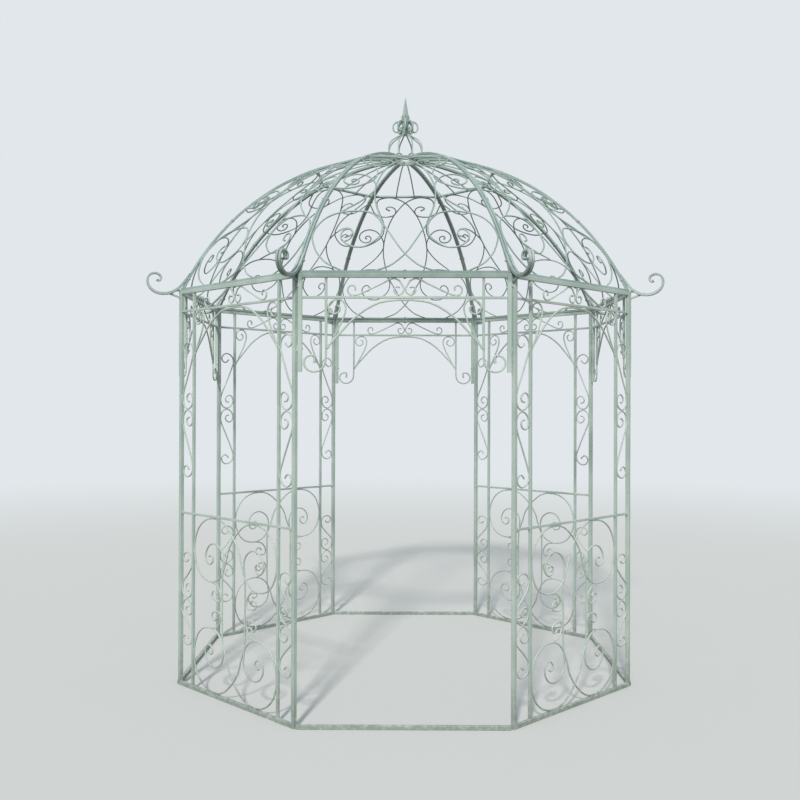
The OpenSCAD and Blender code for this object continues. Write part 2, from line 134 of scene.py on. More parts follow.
def thinned(line, turn=RING_TURN, gap=RING_GAP):
    """Keeps a point wherever the line has turned or run far enough since the last one."""
    line = np.asarray(line, float)
    moved = np.linalg.norm(np.diff(line, axis=0), axis=1) > 1e-9
    line = np.vstack([line[:1], line[1:][moved]])
    steps = np.diff(line, axis=0)
    lengths = np.linalg.norm(steps, axis=1)
    steps /= lengths[:, None]
    kept, turned_by, run = [0], 0.0, 0.0
    for i in range(1, len(line) - 1):
        turned_by += math.acos(max(-1, min(1, float(steps[i - 1] @ steps[i]))))
        run += lengths[i - 1]
        if turned_by >= turn or run >= gap:
            kept.append(i)
            turned_by = run = 0.0
    return line[kept + [len(line) - 1]]


def smooth(points, fine=14):
    """A fine smooth line through the points, the same curve as in the measured model."""
    p = np.asarray(points, float)
    rows = []
    for i in range(len(p) - 1):
        a, b, c, d = p[max(i - 1, 0)], p[i], p[i + 1], p[min(i + 2, len(p) - 1)]
        for k in range(fine):
            t = k / fine
            rows.append(0.5 * (2 * b + (c - a) * t + (2 * a - 5 * b + 4 * c - d) * t * t
                               + (3 * b - a - 3 * c + d) * t ** 3))
    rows.append(p[-1])
    return np.array(rows)


def curl(centre, r0, r1, a0, a1, ease=1.0, n=90):
    """A spiral whose radius goes from the first value to the second."""
    t = np.linspace(0, 1, n)
    r = r0 + (r1 - r0) * t ** ease
    a = np.radians(a0 + (a1 - a0) * t)
    return np.array(centre, float) + r[:, None] * np.stack([np.cos(a), np.sin(a)], 1)


# %% [markdown]
# The scrolls of a side are drawn 995 mm wide and laid out on the real distance between the
# corner tubes. Most of them come in mirrored pairs, and those of the low screen are mirrored
# top to bottom as well.

# %% Place and mirror lines
DRAWN_WIDTH = 995


def placed(points, up=0.0, tall=1.0):
    p = np.asarray(points, float)
    return np.stack([POST_AT + p[:, 0] * (BAY - 2 * POST_AT) / DRAWN_WIDTH, p[:, 1] * tall + up], 1)


def low_placed(points):
    return placed(points, LOW_MIDDLE, LOW_SCALE)


def flip(line, width=BAY):
    return np.stack([width - line[:, 0], line[:, 1]], 1)


def upend(line, height):
    return np.stack([line[:, 0], 2 * height - line[:, 1]], 1)


# %% [markdown]
# ## Scrolls of the sides
# Each function below is one bar of the real pavilion, in the order in which it is bent: from
# one end, over its curves, to the other end.

# %% Scrolls under the beam and the arch
HEAD_LOW = HEAD_RAIL + RAIL / 2 + BAR / 2 - LOFT
HEAD_HIGH = BEAM_LOW - BAR / 2 + LOFT
ARCH_AT = 126
HEART_AT = 130.5


def head_scroll():
    first = curl([250, HEAD_LOW + 28.5], 28.5, 9, -70, -390, 1.3)[::-1]
    middle = smooth([[278, HEAD_LOW + 5], [300, HEAD_LOW + 14], [350, HEAD_LOW + 37],
                     [400, HEAD_LOW + 60], [425, HEAD_HIGH - 5], [449, HEAD_HIGH],
                     [472, HEAD_HIGH - 9]])
    last = curl([465.8, HEAD_LOW + 28], 28, 8, 22, -310, 1.5)
    return smooth(thinned(placed(np.vstack([first, middle, last])), RING_TURN, 25), 6)


def arch():
    left = placed([[ARCH_AT, ARCH_FOOT], [ARCH_AT + 17, ARCH_FOOT + 23], [200, 1836],
                   [250, 1888], [300, 1926], [345, 1952], [400, 1971]])
    top = [[BAY / 2, HEAD_RAIL - RAIL / 2 - ARCH_BAR / 2 + LOFT]]
    return smooth(np.vstack([left, top, flip(left)[::-1]]))


def heart():
    rise = [[1, ARCH_FOOT], [29, 1808], [61, 1862], [81, 1910], [86, 1946], [71, 1973],
            [43, 1979.6], [15, 1968], [4, 1944], [15, 1920], [38, 1914], [57, 1928], [57, 1946],
            [44, 1952]]
    return smooth(placed(np.array(rise) + [HEART_AT, 0]))


def drop_curl():
    bow = curl([0, 0], 55, 26, -8, -290, n=11) * [1.08, 1] + [60, 1693]
    return smooth(placed(np.vstack([[[123.6, 1760], [122.6, 1722]], bow, [[68, 1686]]])))


# %% Scrolls between the uprights and in the low screen
def side_scroll():
    return smooth(placed([[75, 317], [66, 306], [50, 297], [31, 305], [22, 324], [31, 343],
                          [52, 355], [76, 353], [98, 340], [110, 321], [112, 299], [107, 276],
                          [60, 174], [27, 109], [16, 79], [14, 54], [20, 31], [37, 11],
                          [62, 3.5], [88, 12], [105, 31], [110, 54], [103, 75], [84, 86],
                          [62, 79], [51, 61], [60, 45], [78, 42]], SIDE_MEET))


def low_side_scroll():
    return smooth(low_placed([[75, 213], [66, 202], [50, 196], [33, 205], [26, 221], [36, 238],
                              [58, 246], [82, 243], [102, 231], [112.4, 209], [110, 186],
                              [100, 163], [60, 121], [24, 89], [14.2, 64], [20, 36], [37, 14],
                              [62, 3.6], [88, 13], [106, 33], [110, 55], [103, 74], [84, 84],
                              [62, 77], [51, 60], [60, 45], [78, 42]]))


def loop():
    return smooth(low_placed([[405, 186], [378, 153], [340, 129], [287, 119], [226, 130],
                              [179, 160], [151, 202], [136, 252], [136, 306], [160, 369],
                              [198, 411], [250, 439], [310, LOW_DRAWN], [372, 445], [430, 420],
                              [497.5, 363], [543, 301], [566, 236], [590, 186]]))


def crook():
    """The upright bar with a crook at each end, in one length from top to bottom."""
    upper = smooth(low_placed([[275, 249], [290, 257], [308, 247], [308, 226], [285, 209],
                               [258, 216], [243, 241], [248, 274], [275, 306], [315, 320],
                               [355, 313], [392, 286], [408, 246], [404, 201], [397, 141],
                               [397, 0]]))
    return np.vstack([upper, upend(upper, LOW_MIDDLE)[::-1][1:]])


def mid_curl():
    return smooth(low_placed([[300, 119], [345, 109], [372, 86], [384, 56], [375, 31],
                              [345, 27], [312, 37], [303, 56], [315, 74], [335, 74],
                              [348, 59]]))


# %% [markdown]
# ## The dome
# Every roof panel is part of a tall rounded dome. A point of a panel is given by its distance
# across and its distance up the curve, so the scrolls can be drawn flat and then laid on the
# panel. The direction square to the panel at that point tells the bar which way its depth
# goes.

# %% Points on a roof panel
DOME_FOOT = 1292.0
CROWN_TOP = 2941.0
CROWN_RADIUS = 74.0
CROWN_LAP = 4
RIB_DEEP = 14.0
RIB_WIDE = 12.0
FOOT_BAR = 14.0
CROSS_UP = 1066.0
RING_TALL = 24.0
RIB_CROWN = CROWN_TOP - RING_TALL / 2
DOME_CENTRE = ((RIB_CROWN ** 2 + CROWN_RADIUS ** 2 - EAVES ** 2 - DOME_FOOT ** 2)
               / (2 * (RIB_CROWN - EAVES)))
DOME_RADIUS = math.hypot(DOME_FOOT, EAVES - DOME_CENTRE)
DOME_START = math.asin((EAVES + SEAT - DOME_CENTRE) / (DOME_RADIUS - RIB_DEEP / 2))
ROOF_END = DOME_RADIUS * (math.acos((CROWN_RADIUS - CROWN_LAP) / math.cos(HALF) / DOME_RADIUS)
                          - DOME_START)


def rise_angle(line):
    return DOME_START + np.asarray(line, float)[:, 1] / DOME_RADIUS


def roof_points(line):
    """Points across and up the front panel, as places in space."""
    t = rise_angle(line)
    return np.stack([np.asarray(line, float)[:, 0], -DOME_RADIUS * np.cos(t) * math.cos(HALF),
                     DOME_CENTRE + DOME_RADIUS * np.sin(t)], 1)


def roof_normals(line):
    t = rise_angle(line)
    v = np.stack([0 * t, -np.cos(t), np.sin(t) * math.cos(HALF)], 1)
    return v / np.linalg.norm(v, axis=1)[:, None]


def roof_weld(up):
    """How far from the middle of a panel its side bar begins, at a distance up the curve."""
    edge = DOME_RADIUS * math.cos(DOME_START + up / DOME_RADIUS) * math.sin(HALF)
    return edge - RIB_WIDE * 0.5 / math.cos(HALF)


print("dome radius", round(DOME_RADIUS), "mm, a panel is", round(ROOF_END), "mm long")


# %% Scrolls of a roof panel
def roof_long():
    """The long double curve from a side bar over the top and down to the foot bar."""
    return smooth([[-roof_weld(584), 584], [-300, 577], [-245, 594], [-190, 632], [-160, 666],
                   [-143, 715], [-142, 790], [-165, 880], [-180, 945], [-183, 995],
                   [-168, 1033], [-130, 1053], [-90, 1056], [-50, 1040], [0, 998], [40, 935],
                   [82, 850], [115, 750], [140, 635], [149, 550], [143, 450], [124, 360],
                   [105, 300], [80, 250], [40, 172], [0, 108], [-60, 48], [-110, 22],
                   [-150, 8]])


def roof_volute():
    return smooth([[-286, 8], [-316, 24], [-350, 43], [-380, 68], [-413, 115], [-431, 166],
                   [-437.5, 217], [-420, 276], [-388, 326], [-350, 358], [-305, 377],
                   [-250, 387], [-200, 386], [-163, 374], [-138, 349], [-121, 323],
                   [-109, 293], [-107, 264], [-112, 234], [-125, 206], [-147, 183],
                   [-172, 162], [-198, 149], [-223, 147], [-248, 151], [-274, 165],
                   [-294, 187], [-303, 212], [-299, 238], [-283, 257], [-262, 259],
                   [-249, 242], [-254, 222], [-272, 214]])


def roof_crook():
    """The small spiral above the volute, whose tail comes down in a bow."""
    return smooth([[-257, 648], [-268, 656], [-262, 672], [-244, 674], [-231, 656],
                   [-238, 630], [-262, 616], [-290, 624], [-308, 655], [-300, 695],
                   [-268, 725], [-230, 732], [-190, 712], [-162, 668], [-148, 625],
                   [-145, 588], [-155, 550], [-178, 512], [-215, 465], [-255, 427],
                   [-290, 397], [-310, 377]])


def roof_curl():
    return smooth([[-100, 916], [-112, 924], [-124, 934], [-120, 948], [-98, 957], [-74, 944],
                   [-62, 912], [-72, 876], [-100, 858], [-140, 854], [-180, 868], [-205, 900],
                   [-217, 945], [-roof_weld(985), 985]])


def slender_bar():
    t = np.linspace(0, 1, 60)[:, None]
    return np.array([[58, CROSS_UP]]) * (1 - t) + np.array([[10, ROOF_END - 1]]) * t


# %% [markdown]
# ## From a line to a bar
# A bar is a row of rings round its line. Each ring is a square with rounded corners, three
# points to a corner. The direction each point faces is known exactly, so it is given to the
# mesh: the flats then shade flat and the corners shade round, with few points. A value named
# corner is stored on every point, 1 on the very corner and 0 on the flats, so the paint can
# wear there later. A value named weld tells the beads of weld from the bars.

# %% A workshop that collects points and faces
STEPS_PER_CORNER = 3


def rounded_square(half_wide, half_deep, rounding):
    """Outline of a bar: places, facing directions and the corner value of each point."""
    rows = []
    for quarter, (sx, sy) in enumerate(((1, 1), (-1, 1), (-1, -1), (1, -1))):
        for step in range(STEPS_PER_CORNER):
            share = step / (STEPS_PER_CORNER - 1)
            a = math.pi / 2 * (quarter + share)
            rows.append((sx * (half_wide - rounding) + rounding * math.cos(a),
                         sy * (half_deep - rounding) + rounding * math.sin(a),
                         math.cos(a), math.sin(a), math.sin(math.pi * share)))
    rows = np.array(rows)
    return rows[:, :2], rows[:, 2:4], rows[:, 4]


def round_outline(radius, n=12):
    a = np.linspace(0, 2 * math.pi, n, endpoint=False)
    ring = np.stack([np.cos(a), np.sin(a)], 1)
    return ring * radius, ring, np.full(n, 0.25)


def rotated(v, degrees):
    c, s = math.cos(math.radians(degrees)), math.sin(math.radians(degrees))
    return np.stack([v[:, 0] * c - v[:, 1] * s, v[:, 0] * s + v[:, 1] * c, v[:, 2]], 1)


class Workshop:
    """Collects the bars and beads of one piece, in millimetres."""

    def __init__(self, seed):
        self.dice = random.Random(seed)
        self.rows = {"places": [], "facing": [], "corner": [], "weld": []}
        self.faces, self.count = [], 0

    def add(self, places, facing, corner, weld, faces):
        n = len(places)
        for key, values in (("places", places), ("facing", facing),
                            ("corner", np.full(n, corner)), ("weld", np.full(n, weld))):
            self.rows[key].append(np.asarray(values, float))
        self.faces += [tuple(v + self.count for v in face) for face in faces]
        self.count += n

    def all(self, key):
        return np.concatenate(self.rows[key])

    def take(self, other, degrees=0.0, shift=(0.0, 0.0, 0.0)):
        """Takes over what another workshop made, shifted and turned round the centre."""
        self.add(rotated(other.all("places") + np.array(shift), degrees),
                 rotated(other.all("facing"), degrees), other.all("corner"), other.all("weld"),
                 other.faces)


def skin(rings, n):
    """Faces between rings of n points each."""
    return [(i * n + j, i * n + (j + 1) % n, (i + 1) * n + (j + 1) % n, (i + 1) * n + j)
            for i in range(rings - 1) for j in range(n)]


# %% [markdown]
# The ends of a bar are finished in rings that shrink and turn towards the end, like a bar
# dressed with a file. A scroll's free end is a little thicker just before it stops, because
# the smith upset it with the hammer before bending.

# %% Sweep a bar along its line
END_RINGS = 3
END_SHRINK = 0.4
SWELL_LONG = 14


def sweep(shop, line, depth, outline, ends=("round", "round"), swell=(0, 0), rounding=2.0,
          taper=None):
    """Adds a bar along a line in space. depth is the direction of its depth, one or each.
    taper gives how wide and how deep the bar is at each point, as shares of its outline."""
    places, facing, corner = outline
    line = np.asarray(line, float)
    depth = np.broadcast_to(np.asarray(depth, float), line.shape)
    ahead = np.gradient(line, axis=0)
    ahead /= np.linalg.norm(ahead, axis=1)[:, None]
    thick = np.ones((len(line), 2)) if taper is None else np.array(taper, float)
    run = distances(line)
    for far, amount in ((run, swell[0]), (run[-1] - run, swell[1])):
        thick = thick * (1 + amount * np.maximum(0, 1 - far / SWELL_LONG))[:, None]
    rings = [(line[i], ahead[i], depth[i], 0.0, thick[i]) for i in range(len(line))]
    for end, sign in ((0, -1), (-1, 1)):
        if ends[end] != "round":
            continue
        centre, way, deep, _, size = rings[end]
        tip_rings = []
        for k in range(1, END_RINGS + 1):
            a = math.pi / 2 * k / END_RINGS
            tip_rings.append((centre - way * sign * rounding * (1 - math.sin(a)), way, deep,
                              sign * math.sin(a), size * (1 - (1 - math.cos(a)) * END_SHRINK)))
        rings[end] = (centre - way * sign * rounding, way, deep, 0.0, size)
        rings = rings + tip_rings if sign > 0 else tip_rings[::-1] + rings
    rows, out = [], []
    for centre, way, deep, tip, size in rings:
        wide = np.cross(deep, way)
        wide /= np.linalg.norm(wide)
        deep = np.cross(way, wide)
        rows.append(centre + size[0] * places[:, :1] * wide + size[1] * places[:, 1:] * deep)
        square = facing[:, :1] * wide + facing[:, 1:] * deep
        out.append(square * math.sqrt(max(0.0, 1 - tip * tip)) + way * tip)
    n = len(places)
    faces = skin(len(rings), n)
    if ends[0] != "open":
        faces.append(tuple(range(n))[::-1])
    if ends[1] != "open":
        faces.append(tuple(range(len(rings) * n - n, len(rings) * n)))
    shop.add(np.vstack(rows), np.vstack(out), np.tile(corner, len(rings)), 0, faces)


def straight(shop, a, b, depth, outline, ends=("flat", "flat"), gap=150.0):
    """A straight bar from one place to another, with rings often enough to look hand made."""
    a, b = np.array(a, float), np.array(b, float)
    n = max(2, int(np.linalg.norm(b - a) / gap) + 2)
    t = np.linspace(0, 1, n)[:, None]
    sweep(shop, a * (1 - t) + b * t, depth, outline, ends)


# %% [markdown]
# Where two bars touch, the real pavilion has a bead of weld under the paint. A bead is a
# squashed ball with an uneven skin. The places for the beads are found by measuring: two
# lines that come nearer than their bars are thick touch there.

# %% A bead of weld
BEAD_ROUND, BEAD_TALL = 9, 6
BEAD_UNEVEN = 0.22
BEAD_CORNER = 0.3


def bead(shop, centre, along, depth, sizes):
    """A squashed uneven ball. sizes are its half length, half width and half depth."""
    along = np.array(along, float) / np.linalg.norm(along)
    across = np.cross(depth, along)
    across /= np.linalg.norm(across)
    axes = np.array([along, across, np.cross(along, across)])
    seed = Vector([shop.dice.uniform(-50, 50) for _ in range(3)])
    rows, out = [], []
    for i in range(BEAD_TALL + 1):
        a = math.pi * i / BEAD_TALL
        for j in range(BEAD_ROUND if 0 < i < BEAD_TALL else 1):
            b = 2 * math.pi * j / BEAD_ROUND
            v = np.array([math.cos(a), math.sin(a) * math.cos(b), math.sin(a) * math.sin(b)])
            grow = 1 + BEAD_UNEVEN * noise.noise(Vector(v) * 1.7 + seed)
            rows.append(centre + grow * (v * sizes) @ axes)
            out.append(v / sizes / np.linalg.norm(v / sizes) @ axes)
    first = [1 + i * BEAD_ROUND for i in range(BEAD_TALL - 1)]
    faces = []
    for j in range(BEAD_ROUND):
        k = (j + 1) % BEAD_ROUND
        faces.append((0, 1 + j, 1 + k))
        faces += [(a + j, b + j, b + k, a + k) for a, b in zip(first, first[1:])]
        faces.append((first[-1] + j, len(rows) - 1, first[-1] + k))
    shop.add(np.array(rows), np.array(out), BEAD_CORNER, 1, faces)


# %% Find where bars touch
BEAD_APART = 9
BEAD_LONG, BEAD_WIDE = 6.5, 3.6


def walked(line, step=3.0):
    """The same line with points at even distances, and the directions there."""
    line = np.asarray(line, float)
    run = distances(line)
    at = np.arange(0, run[-1], step)
    out = np.stack([np.interp(at, run, line[:, 0]), np.interp(at, run, line[:, 1])], 1)
    way = np.gradient(out, axis=0)
    return out, way / np.linalg.norm(way, axis=1)[:, None]


def touches(lines, fixed, slack=1.6, reach=20):
    """Places where one bar touches another. A bar is (line, half width)."""
    found = []
    ready = [(walked(line), half) for line, half in lines + fixed]
    for i in range(len(lines)):
        (a, way), half_a = ready[i]
        for (b, _), half_b in ready[i + 1:]:
            if (a.min(0) - b.max(0)).max() > reach or (b.min(0) - a.max(0)).max() > reach:
                continue
            far = np.linalg.norm(a[:, None] - b[None], axis=2)
            near = far.argmin(1)
            gap = far.min(1) - half_a - half_b
            hits = np.flatnonzero(gap < slack)
            for group in np.split(hits, np.flatnonzero(np.diff(hits) > 4) + 1):
                if not len(group):
                    continue
                closest = far[group, near[group]]
                crossing = closest.min() < half_a
                k = group[np.argmin(closest if crossing else np.abs(gap[group]))]
                share = 0 if crossing else half_a / (half_a + half_b)
                spot = a[k] * (1 - share) + b[near[k]] * share
                if all(np.linalg.norm(spot - f[0]) > BEAD_APART for f in found):
                    found.append((spot, way[k], crossing))
    return found


def weld_touches(shop, bars, fixed, lay, depth, half):
    """Lays a bead wherever two bars of a flat drawing touch. lay and depth turn places of
    the drawing into places in space and into the direction square to it."""
    spots = touches([(line, half_wide) for line, half_wide, _ in bars], fixed)
    for spot, way, crossing in spots:
        grow = shop.dice.uniform(0.85, 1.2) * (1.15 if crossing else 1)
        here, ahead = lay([spot, spot + way])
        bead(shop, here, ahead - here, depth([spot])[0],
             (BEAD_LONG * grow, BEAD_WIDE * grow, half + 0.9 * grow))
    return len(spots)


# %% [markdown]
# ## From the workshop to a Blender object
# A finished piece becomes one mesh, gets its stored values and facing directions, stands for its
# node in the frame and takes its paint from one of the four slots. Bars by hand are never quite
# true, so every point is moved by up to a millimetre with slow noise, which fades out at the
# ground. The noise is seeded, so every run bends the bars the same way.

# %% Finish a piece
finished = {}
WANDER = 0.9
WANDER_SIZE = 0.006
WANDER_FROM = 60
WANDER_SEED = 7
SIDE_SHIFT = np.array([-BAY / 2, -APOTHEM, 0.0])
noise.seed_set(WANDER_SEED)


def finish_piece(shop, name, slot, degrees=0.0, shift=(0.0, 0.0, 0.0)):
    """Turns and places a workshop's points, and hands the mesh over as one piece."""
    places = rotated(shop.all("places") + np.array(shift), degrees)
    facing = rotated(shop.all("facing"), degrees)
    for i, p in enumerate(places):
        hold = min(1.0, max(0.0, p[2] / WANDER_FROM))
        drift = noise.noise_vector(Vector(p) * WANDER_SIZE)
        places[i] = p + np.array(drift) * WANDER * hold
    places[:, 2] = np.maximum(0.0, places[:, 2])
    mesh = bpy.data.meshes.new(name + "_iron")
    mesh.from_pydata((places / 1000).tolist(), [], shop.faces)
    mesh.polygons.foreach_set("use_smooth", [True] * len(mesh.polygons))
    for key in ("corner", "weld"):
        layer = mesh.attributes.new(key, "FLOAT", "POINT")
        layer.data.foreach_set("value", shop.all(key).astype(np.float32))
    facing = facing / np.maximum(np.linalg.norm(facing, axis=1), 1e-9)[:, None]
    mesh.normals_split_custom_set_from_vertices(facing.tolist())
    piece = put_in_scene(name + "_iron", mesh)
    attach(piece, "root")
    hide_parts(name)
    finished[name] = (piece, slot)


def finish_side(shop, name, slot, bay):
    finish_piece(shop, name, slot, bay * TURN, SIDE_SHIFT)


# %% [markdown]
# ## The four screens and the four doorways
# A side is framed in square tube. The tube is rounded more than the solid bars, because tube
# is rolled and bar is cut. The weld at each joint of the frame is a short row of beads.

# %% The frame of a side
TUBE_SHAPE = rounded_square(TUBE / 2, TUBE / 2, 2.2)
STILE_SHAPE = rounded_square(STILE / 2, STILE / 2, 1.4)
RAIL_SHAPE = rounded_square(RAIL / 2, RAIL / 2, 1.2)
BEAD_STEP = 1.5


def upright(shop, x, low, high, outline, ends=("flat", "flat")):
    straight(shop, (x, 0, low), (x, 0, high), OUT, outline, ends)


def level(shop, x, height, outline):
    straight(shop, (x, 0, height), (BAY - x, 0, height), OUT, outline)


def weld_row(shop, a, b, deep, size=2.6):
    """A short row of beads from one place to another, laid in a corner."""
    a, b = np.array(a, float), np.array(b, float)
    n = max(2, int(np.linalg.norm(b - a) / (size * BEAD_STEP)))
    for i in range(n):
        spot = a + (b - a) * (i + 0.5 + shop.dice.uniform(-0.15, 0.15)) / n
        s = size * shop.dice.uniform(0.8, 1.15)
        bead(shop, spot, b - a, deep, (s * 1.15, s, s))


def joint_welds(shop, x, z, half_upright, half_rail):
    """Rows of weld on the two faces and the underside, where a rail meets an upright."""
    end = half_rail - 2
    for sy in (-1, 1):
        y = sy * (min(half_upright, half_rail) - 0.8)
        weld_row(shop, (x, y, z - end), (x, y, z + end), OUT, 2.2)
    weld_row(shop, (x, -end, z - half_rail), (x, end, z - half_rail), UP, 2.4)


# %% [markdown]
# The short tubes beside a doorway are cut off square and left open, so their lower ends show
# a dark mouth with the wall of the tube round it. That needs an inner skin, which runs up
# into the tube and is closed there.

# %% An open tube end
WALL = 1.8
MOUTH = 70.0
CUT_EDGE = 0.8


def open_tube(shop, x, low, high):
    """A square tube that is open at its lower end."""
    upright(shop, x, low, high, TUBE_SHAPE, ("open", "flat"))
    outer = TUBE_SHAPE[0]
    inner, inner_way, _ = rounded_square(TUBE / 2 - WALL, TUBE / 2 - WALL, 1.2)
    n = len(outer)
    wide = np.cross(OUT, UP)
    rows = [(x, 0, z) + shape[:, :1] * wide + shape[:, 1:] * OUT
            for shape, z in ((outer, low), (inner, low), (inner, low), (inner, low + MOUTH))]
    inwards = -(inner_way[:, :1] * wide + inner_way[:, 1:] * OUT)
    out = [np.tile(-UP, (2 * n, 1)), inwards, inwards]
    faces = [face[::-1] for face in skin(4, n) if not n <= face[0] < 2 * n]
    faces.append(tuple(range(3 * n, 4 * n))[::-1])
    shop.add(np.vstack(rows), np.vstack(out), np.repeat([CUT_EDGE, 0], 2 * n), 0, faces)


# %% [markdown]
# A bolt has a low domed head on a washer. It is turned from one outline, as on a lathe.

# %% Turned pieces
BOLT = [(6.8, -0.6), (6.8, 0.7), (6.4, 1.1), (4.7, 1.1), (4.6, 1.2), (4.3, 2.2), (3.2, 3.4),
        (1.6, 4.2), (0.01, 4.4)]
BEAM_BOLT = 1.35


def turned(shop, outline, centre, axis, n=20, corner=0.4):
    """Turns an outline of (radius, height) round an axis."""
    axis = np.array(axis, float)
    side = np.cross(axis, ACROSS if abs(axis[0]) < 0.9 else OUT)
    side /= np.linalg.norm(side)
    other = np.cross(axis, side)
    way = np.gradient(np.asarray(outline, float), axis=0)
    way /= np.maximum(np.linalg.norm(way, axis=1)[:, None], 1e-9)
    rows, out = [], []
    for (r, h), (dr, dh) in zip(outline, way):
        for j in range(n):
            a = 2 * math.pi * j / n
            around = math.cos(a) * side + math.sin(a) * other
            rows.append(np.array(centre) + r * around + h * axis)
            out.append(dh * around - dr * axis)
    shop.add(np.array(rows), np.array(out), corner, 0, skin(len(outline), n))


def bolt(shop, centre, axis, size=1.0):
    turned(shop, np.array(BOLT) * size, centre, axis, 18, 0.6)


# %% Scrolls of one side, with their welds
BAR_SHAPE = rounded_square(3.9, 3.9, 3.2)
ARCH_SHAPE = rounded_square(4.8, 4.0, 3.2)
SNUB, BROAD = 0.16, 0.45
BOTH, FIRST, LAST, NONE = (SNUB, SNUB), (SNUB, 0), (0, SNUB), (0, 0)


def in_plane(line):
    line = np.asarray(line, float)
    return np.stack([line[:, 0], 0 * line[:, 0], line[:, 1]], 1)


def flat_scrolls(shop, bars, fixed):
    """Adds the bars of one side and a bead wherever two of them touch."""
    for line, half, swell in bars:
        outline = ARCH_SHAPE if half > BAR / 2 else BAR_SHAPE
        depth = shop.dice.uniform(-0.25, 0.25)
        sweep(shop, in_plane(thinned(line)) + OUT * depth, OUT, outline, swell=swell)
    return weld_touches(shop, bars, fixed, in_plane, lambda line: [OUT], BAR / 2)


def mirrored(lines, swell, half=BAR / 2):
    return [(each, half, swell) for line in lines for each in (line, flip(line))]


def head_bars():
    return (mirrored([head_scroll()], BOTH) + [(arch(), ARCH_BAR / 2, NONE)]
            + mirrored([heart()], LAST))


def screen_bars():
    return head_bars() + mirrored([side_scroll(), upend(side_scroll(), SIDE_MEET)], BOTH)


def low_bars():
    bars = mirrored([crook()], BOTH)
    for line, swell in ((loop(), NONE), (mid_curl(), LAST), (low_side_scroll(), BOTH)):
        bars += mirrored([line, upend(line, LOW_MIDDLE)], swell)
    return bars


def door_bars():
    return head_bars() + mirrored([drop_curl()], (0, BROAD), ARCH_BAR / 2)


def side_frame(doorway):
    """Middle lines and half widths of what the scrolls of a side are welded to."""
    low, foot, half = ((DROP_STILE_FOOT, DROP_FOOT, RAIL / 2) if doorway
                       else (0, 0, STILE / 2))
    rows = [([[x, low], [x, BEAM_LOW]], half) for x in (STILE_AT, BAY - STILE_AT)]
    rows += [([[x, foot], [x, EAVES]], TUBE / 2) for x in (POST_AT, BAY - POST_AT)]
    rails = [(HEAD_RAIL, RAIL / 2), (BEAM, TUBE / 2)]
    if not doorway:
        rails += [(WAIST_RAIL, RAIL / 2), (TUBE / 2, TUBE / 2)]
    return rows + [([[0, z], [BAY, z]], half) for z, half in rails]


# %% Make the four screens
INNER = POST_AT + TUBE / 2
RAIL_AT = INNER - 0.5


def make_screen(name, bay):
    shop = Workshop(bay)
    for x in (POST_AT, BAY - POST_AT):
        upright(shop, x, 0, EAVES, TUBE_SHAPE)
    for height, half, outline in (
            (TUBE / 2, TUBE / 2, TUBE_SHAPE), (BEAM, TUBE / 2, TUBE_SHAPE),
            (WAIST_RAIL, RAIL / 2, RAIL_SHAPE), (HEAD_RAIL, RAIL / 2, RAIL_SHAPE)):
        level(shop, RAIL_AT, height, outline)
        for x in (INNER, BAY - INNER):
            joint_welds(shop, x, height, TUBE / 2, half)
    bolt(shop, (BAY / 2, 0, BEAM_LOW), -UP, BEAM_BOLT)
    for x in (STILE_AT, BAY - STILE_AT):
        upright(shop, x, TUBE - 0.5, BEAM_LOW + 0.5, STILE_SHAPE)
        sides = (x - STILE / 2, x + STILE / 2)
        for z in (TUBE, BEAM_LOW):
            for at in sides:
                weld_row(shop, (at, -5, z), (at, 5, z), UP, 2.2)
            for y in (-6.6, 6.6):
                weld_row(shop, (x - 5, y, z), (x + 5, y, z), UP, 2.0)
        for z in (WAIST_RAIL, HEAD_RAIL):
            for at in sides:
                joint_welds(shop, at, z, STILE / 2, RAIL / 2)
    finish_side(shop, name + "_screen", "frame_paint", bay)
    beads = 0
    for seed, ending, bars in ((20, "_scrolls", screen_bars()), (40, "_low_screen", low_bars())):
        shop = Workshop(bay + seed)
        beads += flat_scrolls(shop, bars, side_frame(False))
        finish_side(shop, name + ending, "scrollwork_paint", bay)
    return beads


SCREENS = {"right_front": 1, "right_back": 3, "left_back": 5, "left_front": 7}
for name, bay in SCREENS.items():
    print(name, "screen:", make_screen(name, bay), "beads of weld")

# %% Make the four doorways and their sills
WEDGE_ROOT = CORNER - TUBE / 2 / math.cos(HALF)
WEDGE_BACK, WEDGE_FRONT = 3, -3.0
WEDGE_LAP = 3
WEDGE_LOW, WEDGE_HIGH = 1740, 1764
WEDGE_CORNER = 0.2
DROP_BOLTS = (2035, 1752)


def block(shop, flat, low, high):
    """A flat sided block over a plan of four corners."""
    rows, out = [], []
    for k in range(4):
        p, q = flat[k], flat[(k + 1) % 4]
        rows += [(*p, low), (*q, low), (*q, high), (*p, high)]
        way = np.array([q[1] - p[1], p[0] - q[0], 0])
        out += [way / np.linalg.norm(way)] * 4
    rows += [(*p, low) for p in flat] + [(*p, high) for p in flat]
    faces = [tuple(range(4 * k, 4 * k + 4)) for k in range(6)]
    faces[4] = faces[4][::-1]
    shop.add(rows, out + [-UP] * 4 + [UP] * 4, WEDGE_CORNER, 0, faces)


def corner_wedges(shop, low, high):
    """The wedges between corner tubes, welded to the doorway's own tubes."""
    made = Workshop(0)
    a, b = WEDGE_ROOT + WEDGE_BACK, CORNER + WEDGE_FRONT
    wa, wb = ((end - WEDGE_ROOT) * math.tan(HALF) for end in (a, b))
    for side in (-1, 1):
        flat = np.array([[a, SEAT - wa], [b, SEAT - wb], [b, wb - SEAT + WEDGE_LAP],
                         [a, wa - SEAT + WEDGE_LAP]])[::-side]
        flat[:, 1] *= -side
        turn = math.radians(-90) + side * HALF
        c, s = math.cos(turn), math.sin(turn)
        block(made, flat @ np.array([[c, s], [-s, c]]), low, high)
    shop.take(made, shift=-SIDE_SHIFT)


